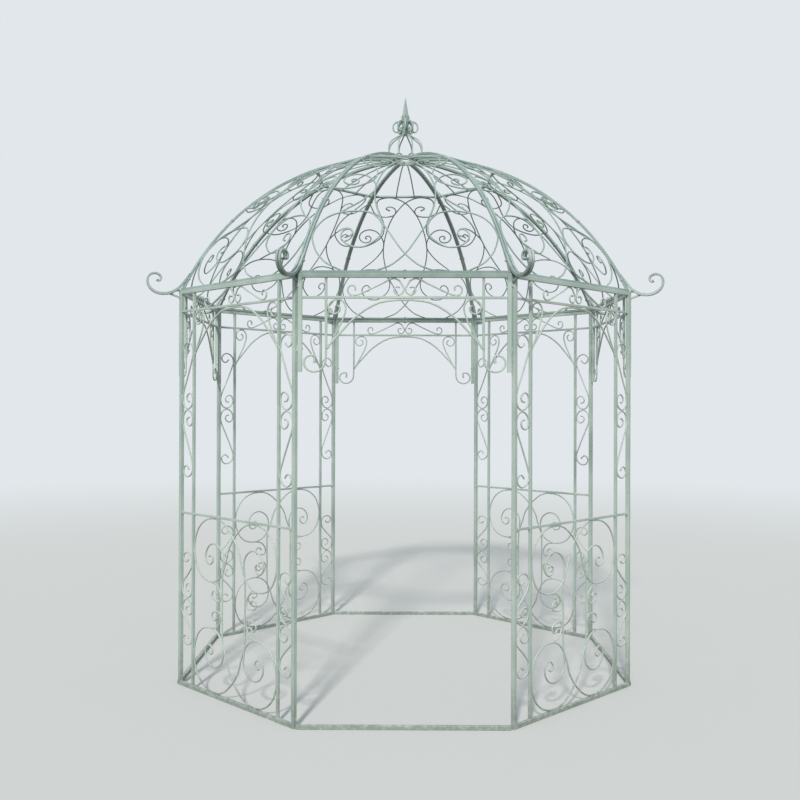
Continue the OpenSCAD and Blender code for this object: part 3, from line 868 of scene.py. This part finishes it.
def make_doorway(name, bay):
    shop = Workshop(bay + 60)
    for x, inwards in ((POST_AT, 1), (BAY - POST_AT, -1)):
        open_tube(shop, x, DROP_FOOT, EAVES)
        face = x + inwards * TUBE / 2
        for height in DROP_BOLTS:
            bolt(shop, (face, 0, height), (inwards, 0, 0))
        for height, half in ((BEAM, TUBE / 2), (HEAD_RAIL, RAIL / 2)):
            joint_welds(shop, face, height, TUBE / 2, half)
    level(shop, RAIL_AT, BEAM, TUBE_SHAPE)
    level(shop, RAIL_AT, HEAD_RAIL, RAIL_SHAPE)
    bolt(shop, (BAY / 2, 0, BEAM_LOW), -UP, BEAM_BOLT)
    for x in (STILE_AT, BAY - STILE_AT):
        upright(shop, x, DROP_STILE_FOOT, BEAM_LOW + 0.5, RAIL_SHAPE, ("round", "flat"))
        for at in (x - RAIL / 2, x + RAIL / 2):
            joint_welds(shop, at, HEAD_RAIL, RAIL / 2, RAIL / 2)
            weld_row(shop, (at, -4, BEAM_LOW), (at, 4, BEAM_LOW), UP, 2.0)
    corner_wedges(shop, WEDGE_LOW, WEDGE_HIGH)
    finish_side(shop, name + "_doorway", "frame_paint", bay)
    shop = Workshop(bay + 100)
    beads = flat_scrolls(shop, door_bars(), side_frame(True))
    finish_side(shop, name + "_doorway_scrolls", "scrollwork_paint", bay)
    shop = Workshop(bay + 120)
    level(shop, POST_AT - TUBE / 2, TUBE / 2, TUBE_SHAPE)
    corner_wedges(shop, 0, TUBE)
    finish_side(shop, name + "_sill", "frame_paint", bay)
    return beads


DOORWAYS = {"front": 0, "right": 2, "back": 4, "left": 6}
for name, bay in DOORWAYS.items():
    print(name, "doorway:", make_doorway(name, bay), "beads of weld")

# %% [markdown]
# ## The eight roof panels
# Each panel has two curved side bars that lie in upright planes through the middle of the
# dome, a straight bar at its foot, a cross bar and the scrolls between. Its bars follow the
# curve of the dome, so their depth direction changes from point to point. The side bars of two
# neighbours lie side by side with a narrow groove between them, and bolts hold them together.

# %% Make the roof panels
GROOVE = 1.5
RIB_SHAPE = rounded_square((RIB_WIDE - GROOVE) / 2, RIB_DEEP / 2, 2.4)
RIB_STEP = math.radians(2.2)
RIB_BOLTS = (480, 1010)
FOOT_SHAPE = rounded_square(FOOT_BAR / 2, FOOT_BAR / 2, 1.6)
ROOF_BAR = 3.8
ROOF_BAR_SHAPE = rounded_square(ROOF_BAR, ROOF_BAR, 3.2)


def side_bar(shop, side):
    """A curved side bar from the eaves to the crown ring, with its bolts."""
    azimuth = math.radians(-90) + side * HALF
    out = np.array([math.cos(azimuth), math.sin(azimuth), 0])
    beside = np.array([math.sin(azimuth), -math.cos(azimuth), 0]) * side
    end = math.acos((CROWN_RADIUS + 0.3) / DOME_RADIUS)
    a = np.linspace(DOME_START, end, int((end - DOME_START) / RIB_STEP) + 2)[:, None]
    way = np.cos(a) * out + np.sin(a) * UP
    line = DOME_RADIUS * way + DOME_CENTRE * UP + beside * (SEAT + RIB_WIDE + GROOVE) / 2
    sweep(shop, line, way, RIB_SHAPE, ("flat", "flat"))
    for up in RIB_BOLTS:
        a = DOME_START + up / DOME_RADIUS
        spot = DOME_RADIUS * (math.cos(a) * out + math.sin(a) * UP) + DOME_CENTRE * UP
        bolt(shop, spot + beside * (SEAT / 2 + RIB_WIDE), beside, 1.3)
    return line


def roof_bars():
    rows = []
    for line, swell in ((roof_long(), NONE), (roof_volute(), LAST), (roof_crook(), FIRST),
                        (roof_curl(), FIRST), (slender_bar(), NONE)):
        rows += [(line, ROOF_BAR, swell), (flip(line, 0), ROOF_BAR, swell)]
    return rows


def roof_frame():
    edge = np.array([[roof_weld(up), up] for up in np.arange(0, ROOF_END, 15.0)])
    return [(edge, 6.5), (flip(edge, 0), 6.5), ([[-480, 6], [480, 6]], 7),
            ([[-450, CROSS_UP], [450, CROSS_UP]], 6)]


def make_roof_panel(name, bay):
    shop = Workshop(bay + 160)
    foot = DOME_FOOT * math.cos(HALF)
    bolt(shop, (0, -foot, EAVES + SEAT + FOOT_BAR), UP, BEAM_BOLT)
    for side in (-1, 1):
        line = side_bar(shop, side)
        weld_row(shop, line[0] - ACROSS * 7, line[0] + ACROSS * 7, UP, 2.6)
        bead(shop, line[-1], ACROSS, UP, (7, 4, 6))
    wide = (foot - FOOT_BAR / 2) * math.tan(HALF) - SEAT
    height = EAVES + SEAT + FOOT_BAR / 2
    straight(shop, (-wide, -foot, height), (wide, -foot, height), OUT, FOOT_SHAPE)
    spot, normal = (lay([[0, CROSS_UP]])[0] for lay in (roof_points, roof_normals))
    across = ACROSS * roof_weld(CROSS_UP)
    straight(shop, spot - across, spot + across, normal, RAIL_SHAPE)
    bars = roof_bars()
    for line, _, swell in bars:
        line = thinned(line, RING_TURN, 32)
        sweep(shop, roof_points(line), roof_normals(line), ROOF_BAR_SHAPE, swell=swell)
    beads = weld_touches(shop, bars, roof_frame(), roof_points, roof_normals, ROOF_BAR)
    finish_piece(shop, name + "_roof_panel", "roof_paint", bay * TURN)
    return beads


for name, bay in sorted((SCREENS | DOORWAYS).items(), key=lambda item: item[1]):
    print(name, "roof panel:", make_roof_panel(name, bay), "beads of weld")

# %% [markdown]
# ## Crown ring, corner scrolls and finial
# These are the ornaments. The ring is turned from one outline.

# %% Make the crown ring
RING_WALL = 12.0
RING_ROUND = 2.0


def make_ring():
    shop = Workshop(200)
    low, high = CROWN_TOP - RING_TALL + RING_ROUND, CROWN_TOP - RING_ROUND
    inner, outer = CROWN_RADIUS - RING_WALL + RING_ROUND, CROWN_RADIUS - RING_ROUND
    outline = []
    for cx, cz, start in ((outer, low, -90), (outer, high, 0), (inner, high, 90),
                          (inner, low, 180)):
        for a in np.radians(start + np.arange(0, 91, 30)):
            outline.append((cx + RING_ROUND * math.cos(a), cz + RING_ROUND * math.sin(a)))
    turned(shop, outline + outline[:1], (0, 0, 0), UP, 96, 0.35)
    for i in range(2 * BAYS):
        a = math.radians(TURN / 4 + i * TURN / 2 - 90)
        spot = (CROWN_RADIUS * math.cos(a), CROWN_RADIUS * math.sin(a), RIB_CROWN)
        bead(shop, spot, (-math.sin(a), math.cos(a), 0), UP, (5, 2.6, 5))
    finish_piece(shop, "crown_ring", "ornament_paint")


make_ring()

# %% [markdown]
# The corner scrolls carry the line of the dome on past the eaves. Each is a pair of bars, one
# for each of the two roof panels that meet there. They leave the side bars of the dome just
# above the eaves, sweep out over the corner and roll up, thinner towards the tip. A tongue and
# a short strut hold them to the corner, and a bolt clamps them where they leave the dome.

# %% Make the corner scrolls
TAIL_WIDE = 11.2
TAIL_THICK = 15.5
TAIL_GAP = 5.4
TAIL_SHAPE = rounded_square(TAIL_THICK / 2, TAIL_WIDE / 2, 2.6)
TAIL_POINTS = [(-48, 99), (-33, 75), (-18, 51), (-1, 29), (17, 11), (41, -5), (70, -15),
               (101, -17), (130, -10.5), (154.5, 5), (169.5, 27), (173.5, 51), (166.5, 74),
               (149, 87), (127.5, 89), (109.5, 80), (103, 67), (106, 55), (117, 50.5),
               (124, 56)]
TAIL_RUN = [0, 30, 70, 160, 330, 400]
TAIL_SHARE = [0.25, 0.6, 0.95, 1.0, 0.72, 0.66]
TAIL_SWELL = 0.22
HOLDERS = (((-4, 4), (44, -3), (4.0, 6.0, 1.2)), ((-4, -38), (60, -16), (5.0, 5.0, 1.6)),
           ((-3, -62), (-3, -2), (4.0, 3.6, 1.2)))


def make_tails():
    whole = Workshop(220)
    line = thinned(smooth(np.array(TAIL_POINTS), 8), math.radians(6), 20)
    share = np.interp(distances(line), TAIL_RUN, TAIL_SHARE)
    taper = np.stack([share, np.ones(len(line))], 1)
    for i in range(BAYS):
        shop = Workshop(230 + i)
        for side in (-1, 1):
            beside = side * (TAIL_WIDE + TAIL_GAP) / 2
            drift = shop.dice.uniform(-1.2, 1.2)
            sweep(shop, in_plane(line + [drift, 0]) + OUT * beside, OUT, TAIL_SHAPE,
                  swell=(0, TAIL_SWELL), rounding=2.5, taper=taper)
            weld_row(shop, (-44, side * 10, 86), (-30, side * 10, 62), OUT, 2.4)
            bolt(shop, (-42, side * 13.6, 66), (0, side, 0), 1.15)
        for (r0, z0), (r1, z1), shape in HOLDERS:
            straight(shop, (r0, 0, z0), (r1, 0, z1), OUT, rounded_square(*shape))
        for r, z in ((40, -7), (57, -20)):
            weld_row(shop, (r, -8, z), (r, 8, z), UP, 2.8)
        whole.take(shop, TURN / 2 + TURN * i, (CORNER, 0, EAVES))
    finish_piece(whole, "corner_scrolls", "ornament_paint")


make_tails()

# %% [markdown]
# The finial stands on eight round legs, which rise from the dome, bend over and meet under a
# hub. Above it a slender column is wrapped in leaves. Eight curls spring from its neck, and a
# collar of petals holds a four sided spear with a blunt tip.

# %% Lines of the finial
LEG_CIRCLE = 104.0
LEG_RADIUS = 4.2
LEG_RISE = 60.0
LEG_BEND = 64.0
LEG_LEAN = math.radians(58)
LEG_RUN = 76.0
COLUMN = 82.0
SPEAR = 140.0
HUB = 3300.0 - SPEAR - COLUMN
LEG_FOOT = DOME_CENTRE + SEAT + math.sqrt((DOME_RADIUS + RIB_DEEP / 2) ** 2
                                          - (LEG_CIRCLE - LEG_RADIUS) ** 2)


def leg_line():
    rise = [[LEG_CIRCLE, 0], [LEG_CIRCLE, LEG_RISE]]
    a = np.linspace(0.1, LEG_LEAN, 8)
    bow = np.stack([LEG_CIRCLE - LEG_BEND * (1 - np.cos(a)), LEG_RISE + LEG_BEND * np.sin(a)], 1)
    end = bow[-1] + LEG_RUN * np.array([-math.sin(LEG_LEAN), math.cos(LEG_LEAN)])
    return np.vstack([rise, bow, [end]]) + [0, LEG_FOOT]


def finial_curl(reach):
    """From the neck out and down in a bow, rolled in at the end."""
    points = np.array([[8, 64], [20, 74], [38, 79], [56, 75], [68, 62], [72, 45], [68, 28],
                       [57, 18], [45, 20], [40, 31], [46, 40]], float)
    return smooth(points * [reach, 1])


# %% Make the finial
CURL_SHAPE = rounded_square(5.0, 5.8, 3.2)
SHORT_CURL = 0.82
LEAF_SHAPE = rounded_square(1.6, 9.0, 1.2)
LEAF_THIN = 0.45
LEAVES = (([[12, 2], [18, 10], [21, 21], [20, 33], [25, 43]], (0.5, 1.0, 0.95, 0.6, 0.12)),
          ([[12, 40], [17, 50], [19, 62], [21, 74], [29, 84]], (0.5, 0.8, 0.85, 0.6, 0.12)),
          ([[15, 70], [20, 82], [22, 94], [24, 104], [30, 110]], (0.6, 0.9, 0.9, 0.5, 0.1)))
SPEAR_RINGS = ((0, 17.0), (14, 21.0), (40, 18.0), (66, 14.0), (96, 9.0), (124, 4.0), (140, 1.3))


def spear(shop, base):
    """Four flats that meet in sharp edges, so each edge has a point for either flat."""
    rows, out = [], []
    for h, r in SPEAR_RINGS:
        for j in range(8):
            edge = math.pi / 2 * (j // 2)
            flat = edge + (j % 2 - 0.5) * math.pi / 2
            rows.append([r * math.cos(edge), r * math.sin(edge), base + h])
            out.append([math.cos(flat), math.sin(flat), 0.15])
    faces = [face for face in skin(len(SPEAR_RINGS), 8) if face[0] % 2]
    top = len(rows) - 8
    faces += [(6, 4, 2, 0), (top, top + 2, top + 4, top + 6)]
    shop.add(rows, out, 0.35, 0, faces)


def make_finial():
    whole = Workshop(240)
    for i in range(BAYS):
        shop = Workshop(250 + i)
        sweep(shop, in_plane(leg_line()), OUT, round_outline(LEG_RADIUS), ("flat", "flat"))
        bead(shop, (LEG_CIRCLE, 0, LEG_FOOT + 2), ACROSS, UP, (6.5, 6.5, 3.5))
        whole.take(shop, TURN / 2 + TURN * i)
    column = smooth([[0.01, -3], [8, -3], [14, 4], [15, 13], [13, 23], [14, 34], [12, 46],
                     [14, 60], [16, 70], [18, COLUMN - 4], [18, COLUMN], [0.01, COLUMN]], 5)
    turned(whole, column, (0, 0, HUB), UP, 32)
    for i in range(BAYS):
        shop = Workshop(260 + i)
        line = thinned(finial_curl(SHORT_CURL if i % 2 else 1.0), RING_TURN, 12)
        size = np.linspace(1.1, 0.75, len(line))
        sweep(shop, in_plane(line) + HUB * UP, OUT, CURL_SHAPE, swell=(0, 0.3),
              taper=np.stack([size, size], 1))
        for points, wide in LEAVES:
            line = smooth(points, 3)
            share = np.interp(np.linspace(0, 4, len(line)), range(5), wide)
            sweep(shop, in_plane(line) + HUB * UP, OUT, LEAF_SHAPE, ("flat", "round"),
                  rounding=1.0, taper=np.stack([np.maximum(share, LEAF_THIN), share], 1))
        whole.take(shop, TURN * i)
    spear(whole, HUB + COLUMN - 1)
    finish_piece(whole, "finial", "ornament_paint")


make_finial()
print("pieces made:", len(finished), "of", len(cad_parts))

# %% [markdown]
# ## Paint that has stood outside
# The ironwork is painted in a pale grey green. Where it faces the sky it is paler, partly from
# sun-faded paint and partly as painted light from above; corners are rubbed, rain has left streaks
# and a little rust creeps out at the welds. The undersides and the beams at the front and the back
# are darkened with painted shade. Each of these effects is a node group of its own, so that the
# four paints can use them at different strengths. Every group reads places on the object and never
# the camera.
#
# A wire stands for what a node puts out. Wires are added and multiplied like numbers, and each
# such step becomes a math node.

# %% Wires between nodes
def node(tree, kind, **settings):
    made = tree.nodes.new(kind)
    for key, value in settings.items():
        setattr(made, key, value)
    return made


def plug(value, spot):
    """Joins a wire to an input, or sets the input to a plain value."""
    if isinstance(value, Wire):
        value.tree.links.new(value.out, spot)
    else:
        spot.default_value = value


class Wire:
    def __init__(self, out):
        self.tree, self.out = out.id_data, out

    def step(self, what, other=None):
        made = node(self.tree, "ShaderNodeMath", operation=what)
        plug(self, made.inputs[0])
        if other is not None:
            plug(other, made.inputs[1])
        return Wire(made.outputs[0])

    def __add__(self, other):
        return self.step("ADD", other)

    def __sub__(self, other):
        return self.step("SUBTRACT", other)

    def __mul__(self, other):
        return self.step("MULTIPLY", other)

    def ramp(self, low, high, to_low=0.0, to_high=1.0):
        """Spreads the value between two limits over a new range, and clips it there."""
        made = node(self.tree, "ShaderNodeMapRange", interpolation_type="SMOOTHSTEP")
        for label, value in (("Value", self), ("From Min", low), ("From Max", high),
                             ("To Min", to_low), ("To Max", to_high)):
            plug(value, made.inputs[label])
        return Wire(made.outputs["Result"])

    def part(self, axis):
        made = node(self.tree, "ShaderNodeSeparateXYZ")
        plug(self, made.inputs[0])
        return Wire(made.outputs[axis])

    def blend(self, a, b):
        """Mixes two colours, each a wire or a colour, with this wire as the share."""
        made = node(self.tree, "ShaderNodeMix", data_type="RGBA")
        for value, label in ((self, "Factor_Float"), (a, "A_Color"), (b, "B_Color")):
            plug(value, next(s for s in made.inputs if s.identifier == label))
        return Wire(next(s for s in made.outputs if s.type == "RGBA"))


def on_object(tree):
    return Wire(node(tree, "ShaderNodeTexCoord").outputs["Object"])


def facing_up(tree):
    return Wire(node(tree, "ShaderNodeNewGeometry").outputs["Normal"]).part("Z")


def stored(tree, name):
    return Wire(node(tree, "ShaderNodeAttribute", attribute_name=name).outputs["Fac"])


def cloud(tree, scale, detail=4.0, rough=0.55, stretch=None):
    """Noise at a size in repeats a metre."""
    place = on_object(tree)
    if stretch is not None:
        squeeze = node(tree, "ShaderNodeMapping")
        plug(place, squeeze.inputs["Vector"])
        plug(stretch, squeeze.inputs["Scale"])
        place = Wire(squeeze.outputs[0])
    made = node(tree, "ShaderNodeTexNoise")
    for label, value in (("Vector", place), ("Scale", scale), ("Detail", detail),
                         ("Roughness", rough)):
        plug(value, made.inputs[label])
    return Wire(made.outputs["Fac"])


class Effect:
    """A node group. given holds a wire for each input, and give joins wires to outputs."""

    def __init__(self, name, **inputs):
        self.tree = bpy.data.node_groups.new(name, "ShaderNodeTree")
        for label, value in inputs.items():
            self.socket(label, "INPUT", isinstance(value, tuple)).default_value = value
        start = node(self.tree, "NodeGroupInput")
        self.given = {label: Wire(start.outputs[label.replace("_", " ")]) for label in inputs}
        self.end = node(self.tree, "NodeGroupOutput")

    def socket(self, label, way, colour):
        kind = "NodeSocketColor" if colour else "NodeSocketFloat"
        return self.tree.interface.new_socket(name=label.replace("_", " "), in_out=way,
                                              socket_type=kind)

    def give(self, **wires):
        for label, wire in wires.items():
            self.socket(label, "OUTPUT", wire.out.type == "RGBA")
            plug(wire, self.end.inputs[label])


# %% [markdown]
# Sun and old brush strokes make the paint uneven at two sizes: slow patches over a hand's width,
# and fine mottling of a few millimetres. Faces that look up at the sky are paler: partly sun-faded
# paint, partly painted light from above.

# %% The group for faded paint
faded_and_lit = Effect("faded paint", Paint=(0.5, 0.62, 0.55, 1), PaleAndLit=(0.66, 0.72, 0.67, 1),
               Shaded=(0.4, 0.52, 0.46, 1), Patches=0.5, Sky=0.5)
tree, given = faded_and_lit.tree, faded_and_lit.given
mottle = cloud(tree, 160.0, 3, 0.6)
patches = cloud(tree, 5.5, 3).ramp(0.38, 0.66) * given["Patches"]
# Paler where a face looks up: sun-faded paint and painted light from above.
pale_and_lit = facing_up(tree).ramp(-0.15, 0.95) * given["Sky"] + patches
colour = pale_and_lit.blend(given["Paint"], given["PaleAndLit"])
dull = mottle.ramp(0.35, 0.75) * 0.45
faded_and_lit.give(Color=dull.blend(colour, given["Shaded"]), Mottle=mottle)

# %% [markdown]
# Edges wear first, because hands, ladders and the brush itself leave the thinnest paint there.
# The mask starts from the corner value stored on every point and is broken up with noise, so
# that only some stretches of a corner are rubbed.

# %% The group for worn edges
wear = Effect("edge wear", Amount=0.5, Scale=45.0)
tree, given = wear.tree, wear.given
both = cloud(tree, given["Scale"], 5, 0.65) * 0.75 + cloud(tree, 9.0, 2) * 0.45
edge = stored(tree, "corner") * both
limit = given["Amount"] * -0.5 + 0.9
wear.give(Worn=edge.ramp(limit - 0.12, limit), Through=edge.ramp(limit + 0.07, limit + 0.1))

# %% [markdown]
# Rust shows at the welds, where the paint has pinholes, and as small specks elsewhere. Below
# each spot the rain draws it down, so the noise for the stain is stretched in height.

# %% The group for rust
FRESH_RUST, OLD_RUST = (0.33, 0.15, 0.06, 1), (0.16, 0.06, 0.025, 1)

rust = Effect("rust", Amount=0.4, At_welds=0.5)
tree, given = rust.tree, rust.given
specks = cloud(tree, 90.0, 6, 0.7)
more = (cloud(tree, 7.0, 2) * 0.5 + specks * 0.6
        + stored(tree, "weld") * given["At_welds"] * 0.16)
limit = given["Amount"] * -0.2 + 0.86
stain = cloud(tree, 60.0, 3, 0.5, (1, 1, 0.06)).ramp(0.58, 0.8) * given["Amount"]
rust.give(Rusty=more.ramp(limit, limit + 0.05), Stain=stain,
          Color=specks.ramp(0.4, 0.7).blend(OLD_RUST, FRESH_RUST))

# %% [markdown]
# Earth splashes up in the rain, so grime is thickest near the ground and thins out by half a metre.
# The undersides are darkened as well: that is painted shade. The beams at the front and the back
# get a darker band, which is painted shade too, while the beams of the other sides keep their
# colour: that band is a second output.

# %% The group for grime
grime_and_shade = Effect("grime_and_shade", Splash_height=0.35, Amount=0.5, Eaves_height=2.1, Band=0.05)
tree, given = grime_and_shade.tree, grime_and_shade.given
height = on_object(tree).part("Z")
near = height.ramp(0.0, given["Splash_height"], 1.0, 0.0)
# Darker undersides: painted shade.
under_shade = facing_up(tree).ramp(-0.2, -0.9) * 0.45
broken = cloud(tree, 38.0, 5, 0.62).ramp(0.22, 0.62)
# A darker band on the front and back beams at the eaves: painted shade.
away = (height - given["Eaves_height"]).step("ABSOLUTE")
band = away.ramp(given["Band"] * 0.5, given["Band"], 1.0, 0.0)
ends = on_object(tree).part("Y").step("ABSOLUTE").ramp(1.12, 1.19)
uneven = cloud(tree, 14.0, 3).ramp(0.2, 0.7, 0.6, 1.0)
grime_and_shade.give(Grime=near.step("MAXIMUM", under_shade) * broken * given["Amount"],
           Damp=band * ends * uneven)

# %% [markdown]
# The skin of the paint has three layers of relief: long brush marks, the fine orange peel of
# thick paint, and the hammer's shallow dents in the bar below. The group puts out one height.

# %% The group for the relief of brushed paint
relief = Effect("brushed relief", Brush=0.5, Peel=0.5, Dents=0.5)
tree, given = relief.tree, relief.given
relief.give(Height=cloud(tree, 420.0, 2, 0.5, (1, 1, 0.12)) * given["Brush"]
            + cloud(tree, 700.0, 2, 0.5) * given["Peel"]
            + cloud(tree, 55.0, 2, 0.4) * given["Dents"])
EFFECTS = {"faded_and_lit": faded_and_lit, "wear": wear, "rust": rust, "grime_and_shade": grime_and_shade, "relief": relief}
print("effects:", ", ".join(effect.tree.name for effect in EFFECTS.values()))

# %% [markdown]
# The four paints are the same coat at four places of the pavilion. The frame is smooth tube, the
# scrolls are bar that was handled most, the roof has stood in the rain, and the ornaments stand out
# most. The roof and ornament paints are also darker and bluer than the others: that is painted
# shade, with a painted blue tint of the sky. Each row below is one paint: what it sets is named in
# the first list.

# %% Mix the four paints
SETTINGS = [("faded_and_lit", "Paint"), ("faded_and_lit", "PaleAndLit"), ("faded_and_lit", "Shaded"), ("faded_and_lit", "Patches"),
            ("faded_and_lit", "Sky"), ("wear", "Amount"), ("wear", "Scale"), ("rust", "Amount"),
            ("rust", "At welds"), ("grime_and_shade", "Splash height"), ("grime_and_shade", "Amount"),
            ("relief", "Brush"), ("relief", "Peel"), ("relief", "Dents")]
PAINTS = {
    "frame_paint": [(0.45, 0.56, 0.51, 1), (0.68, 0.76, 0.71, 1), (0.32, 0.42, 0.37, 1),
                    0.5, 0.6, 0.5, 45, 0.35, 0.6, 0.3, 0.66, 0.5, 0.4, 0.3],
    "scrollwork_paint": [(0.50, 0.60, 0.54, 1), (0.70, 0.77, 0.72, 1), (0.34, 0.44, 0.38, 1),
                         0.5, 0.5, 0.55, 70, 0.35, 0.8, 0.3, 0.75, 0.4, 0.5, 0.6],
    # Roof and ornament paints are darker and bluer: painted shade with a painted sky tint.
    "roof_paint": [(0.33, 0.44, 0.41, 1), (0.50, 0.61, 0.57, 1), (0.23, 0.33, 0.30, 1),
                   0.6, 0.12, 0.5, 60, 0.45, 0.9, 0.3, 0.5, 0.4, 0.5, 0.6],
    "ornament_paint": [(0.38, 0.49, 0.46, 1), (0.62, 0.70, 0.66, 1), (0.26, 0.36, 0.33, 1),
                       0.7, 0.25, 0.6, 50, 0.4, 0.8, 0.3, 0.5, 0.3, 0.5, 0.9]}
GLOSS = {"frame_paint": 0.34, "scrollwork_paint": 0.34, "roof_paint": 0.36,
         "ornament_paint": 0.34}
# BEAM_SHADE is the colour of the painted shade on the front and back beams.
PRIMER, STREAK, BEAM_SHADE = (0.72, 0.74, 0.70, 1), (0.42, 0.33, 0.22, 1), (0.17, 0.25, 0.23, 1)
# GRIME_AND_UNDER_SHADE darkens the bottom as grime, and the undersides as painted shade.
GRIME_AND_UNDER_SHADE, BARE_IRON = (0.19, 0.215, 0.18, 1), (0.2, 0.15, 0.12, 1)
BUMP_STRENGTH, BUMP_DEPTH = 0.55, 0.0012


def new_material(name):
    material = bpy.data.materials.new(name)
    material.use_nodes = True
    material.node_tree.nodes.clear()
    return material, material.node_tree


def make_paint(name):
    material, tree = new_material(name)
    used = {key: node(tree, "ShaderNodeGroup", node_tree=effect.tree)
            for key, effect in EFFECTS.items()}
    for (key, label), value in zip(SETTINGS, PAINTS[name]):
        used[key].inputs[label].default_value = value
    worn, through = Wire(used["wear"].outputs["Worn"]), Wire(used["wear"].outputs["Through"])
    rusty, stain = Wire(used["rust"].outputs["Rusty"]), Wire(used["rust"].outputs["Stain"])
    grime_and_under_shade, beam_shade = Wire(used["grime_and_shade"].outputs["Grime"]), Wire(used["grime_and_shade"].outputs["Damp"])
    colour = Wire(used["faded_and_lit"].outputs["Color"])
    # Among these layers, the darkened undersides and the band on the front and back beams are
    # painted shade.
    for share, top in ((worn * 0.6, PRIMER), (stain * 0.35, STREAK), (beam_shade * 0.7, BEAM_SHADE),
                       (grime_and_under_shade, GRIME_AND_UNDER_SHADE), (through, BARE_IRON),
                       (rusty, Wire(used["rust"].outputs["Color"]))):
        colour = share.blend(colour, top)
    gloss = GLOSS[name]
    rough = Wire(used["faded_and_lit"].outputs["Mottle"]).ramp(0.3, 0.7, gloss - 0.07, gloss + 0.1)
    rough = rough.step("MAXIMUM", rusty * 0.85).step("MAXIMUM", grime_and_under_shade * 0.9)
    bump = node(tree, "ShaderNodeBump")
    plug(BUMP_STRENGTH, bump.inputs["Strength"])
    plug(BUMP_DEPTH, bump.inputs["Distance"])
    plug(worn * -0.35 + Wire(used["relief"].outputs["Height"]) + rusty * 0.5,
         bump.inputs["Height"])
    shader = node(tree, "ShaderNodeBsdfPrincipled")
    plug(colour, shader.inputs["Base Color"])
    plug(rough, shader.inputs["Roughness"])
    plug(Wire(bump.outputs["Normal"]), shader.inputs["Normal"])
    plug(Wire(shader.outputs[0]), node(tree, "ShaderNodeOutputMaterial").inputs["Surface"])
    return material


paints = {name: make_paint(name) for name in PAINTS}
for piece, slot in finished.values():
    piece.data.materials.append(paints[slot])
print("paints:", ", ".join(paints))

# %% [markdown]
# ## Floor, backdrop and light
# The floor is a wide plain sheet. Under a real sheet of white paper the undersides of the
# ironwork would glow, so rays that bounce meet a darker floor than the camera does. Far from
# the pavilion the floor fades into the colour of the backdrop, and no horizon shows.

# %% Lay the floor
FLOOR_HALF = 40.0
BACKDROP = (0.76, 0.80, 0.83, 1)
PALE_FLOOR = (0.76, 0.76, 0.74, 1)
BOUNCE_FLOOR = (0.27, 0.26, 0.22, 1)
FADE_FROM, FADE_TO = 4.0, 15.0


def plain_shader(tree, kind, colour, strength=None):
    made = node(tree, kind)
    plug(colour, made.inputs["Color"])
    if strength is not None:
        plug(strength, made.inputs["Strength"])
    return Wire(made.outputs[0])


def mix_shaders(share, a, b):
    made = node(share.tree, "ShaderNodeMixShader")
    for value, spot in zip((share, a, b), made.inputs):
        plug(value, spot)
    return Wire(made.outputs[0])


def seen(tree):
    """1 where the camera looks straight at it or in a reflection, 0 where light bounces."""
    path = node(tree, "ShaderNodeLightPath").outputs
    return Wire(path["Is Camera Ray"]).step("MAXIMUM", Wire(path["Is Glossy Ray"]))


floor_mesh = bpy.data.meshes.new("floor")
floor_mesh.from_pydata([(x * FLOOR_HALF, y * FLOOR_HALF, 0)
                        for x, y in ((-1, -1), (1, -1), (1, 1), (-1, 1))], [], [(0, 1, 2, 3)])
floor = put_in_scene("floor", floor_mesh)
floor_paper, tree = new_material("floor_paper")
length = node(tree, "ShaderNodeVectorMath", operation="LENGTH")
plug(on_object(tree), length.inputs[0])
shown = mix_shaders(Wire(length.outputs["Value"]).ramp(FADE_FROM, FADE_TO),
                    plain_shader(tree, "ShaderNodeBsdfDiffuse", PALE_FLOOR),
                    plain_shader(tree, "ShaderNodeEmission", BACKDROP))
paper = mix_shaders(seen(tree), plain_shader(tree, "ShaderNodeBsdfDiffuse", BOUNCE_FLOOR), shown)
plug(paper, node(tree, "ShaderNodeOutputMaterial").inputs["Surface"])
floor_mesh.materials.append(floor_paper)

# %% [markdown]
# One sun lamp stands in front, a little to the left and rather low, as the tubes in the
# photograph tell: their faces turned to the left are the brightest, those turned to the right
# a little darker. The shadow falls back to the right. The lamp is wider than the real sun, so
# the shadows of thin bars stay soft.
# The world is a weak even sky. Together they light a pale surface about as bright as its
# colour is written.

# %% Hang the light
SUN_FROM = (-1.6, -9.0, 6.2)
SUN_COLOUR = (1.0, 0.975, 0.93)
SUN_STRENGTH = 2.35
SUN_WIDTH = math.radians(5)
SKY = (0.84, 0.93, 1.0, 1)
SKY_STRENGTH = 0.5

world = bpy.data.worlds.new("studio")
bpy.context.scene.world = world
world.use_nodes = True
tree = world.node_tree
tree.nodes.clear()
air = mix_shaders(seen(tree), plain_shader(tree, "ShaderNodeBackground", SKY, SKY_STRENGTH),
                  plain_shader(tree, "ShaderNodeBackground", BACKDROP, 1.0))
plug(air, node(tree, "ShaderNodeOutputWorld").inputs["Surface"])

sun_data = bpy.data.lights.new("sun", "SUN")
sun_data.energy = SUN_STRENGTH
sun_data.angle = SUN_WIDTH
sun_data.color = SUN_COLOUR
sun = put_in_scene("sun", sun_data)
sun.location = SUN_FROM
sun.rotation_euler = (-Vector(SUN_FROM)).to_track_quat("-Z", "Y").to_euler()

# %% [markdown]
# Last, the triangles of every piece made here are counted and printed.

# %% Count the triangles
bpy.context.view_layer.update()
triangles = sum(len(face.vertices) - 2 for piece, _ in finished.values()
                for face in piece.data.polygons)
print("triangles:", triangles)
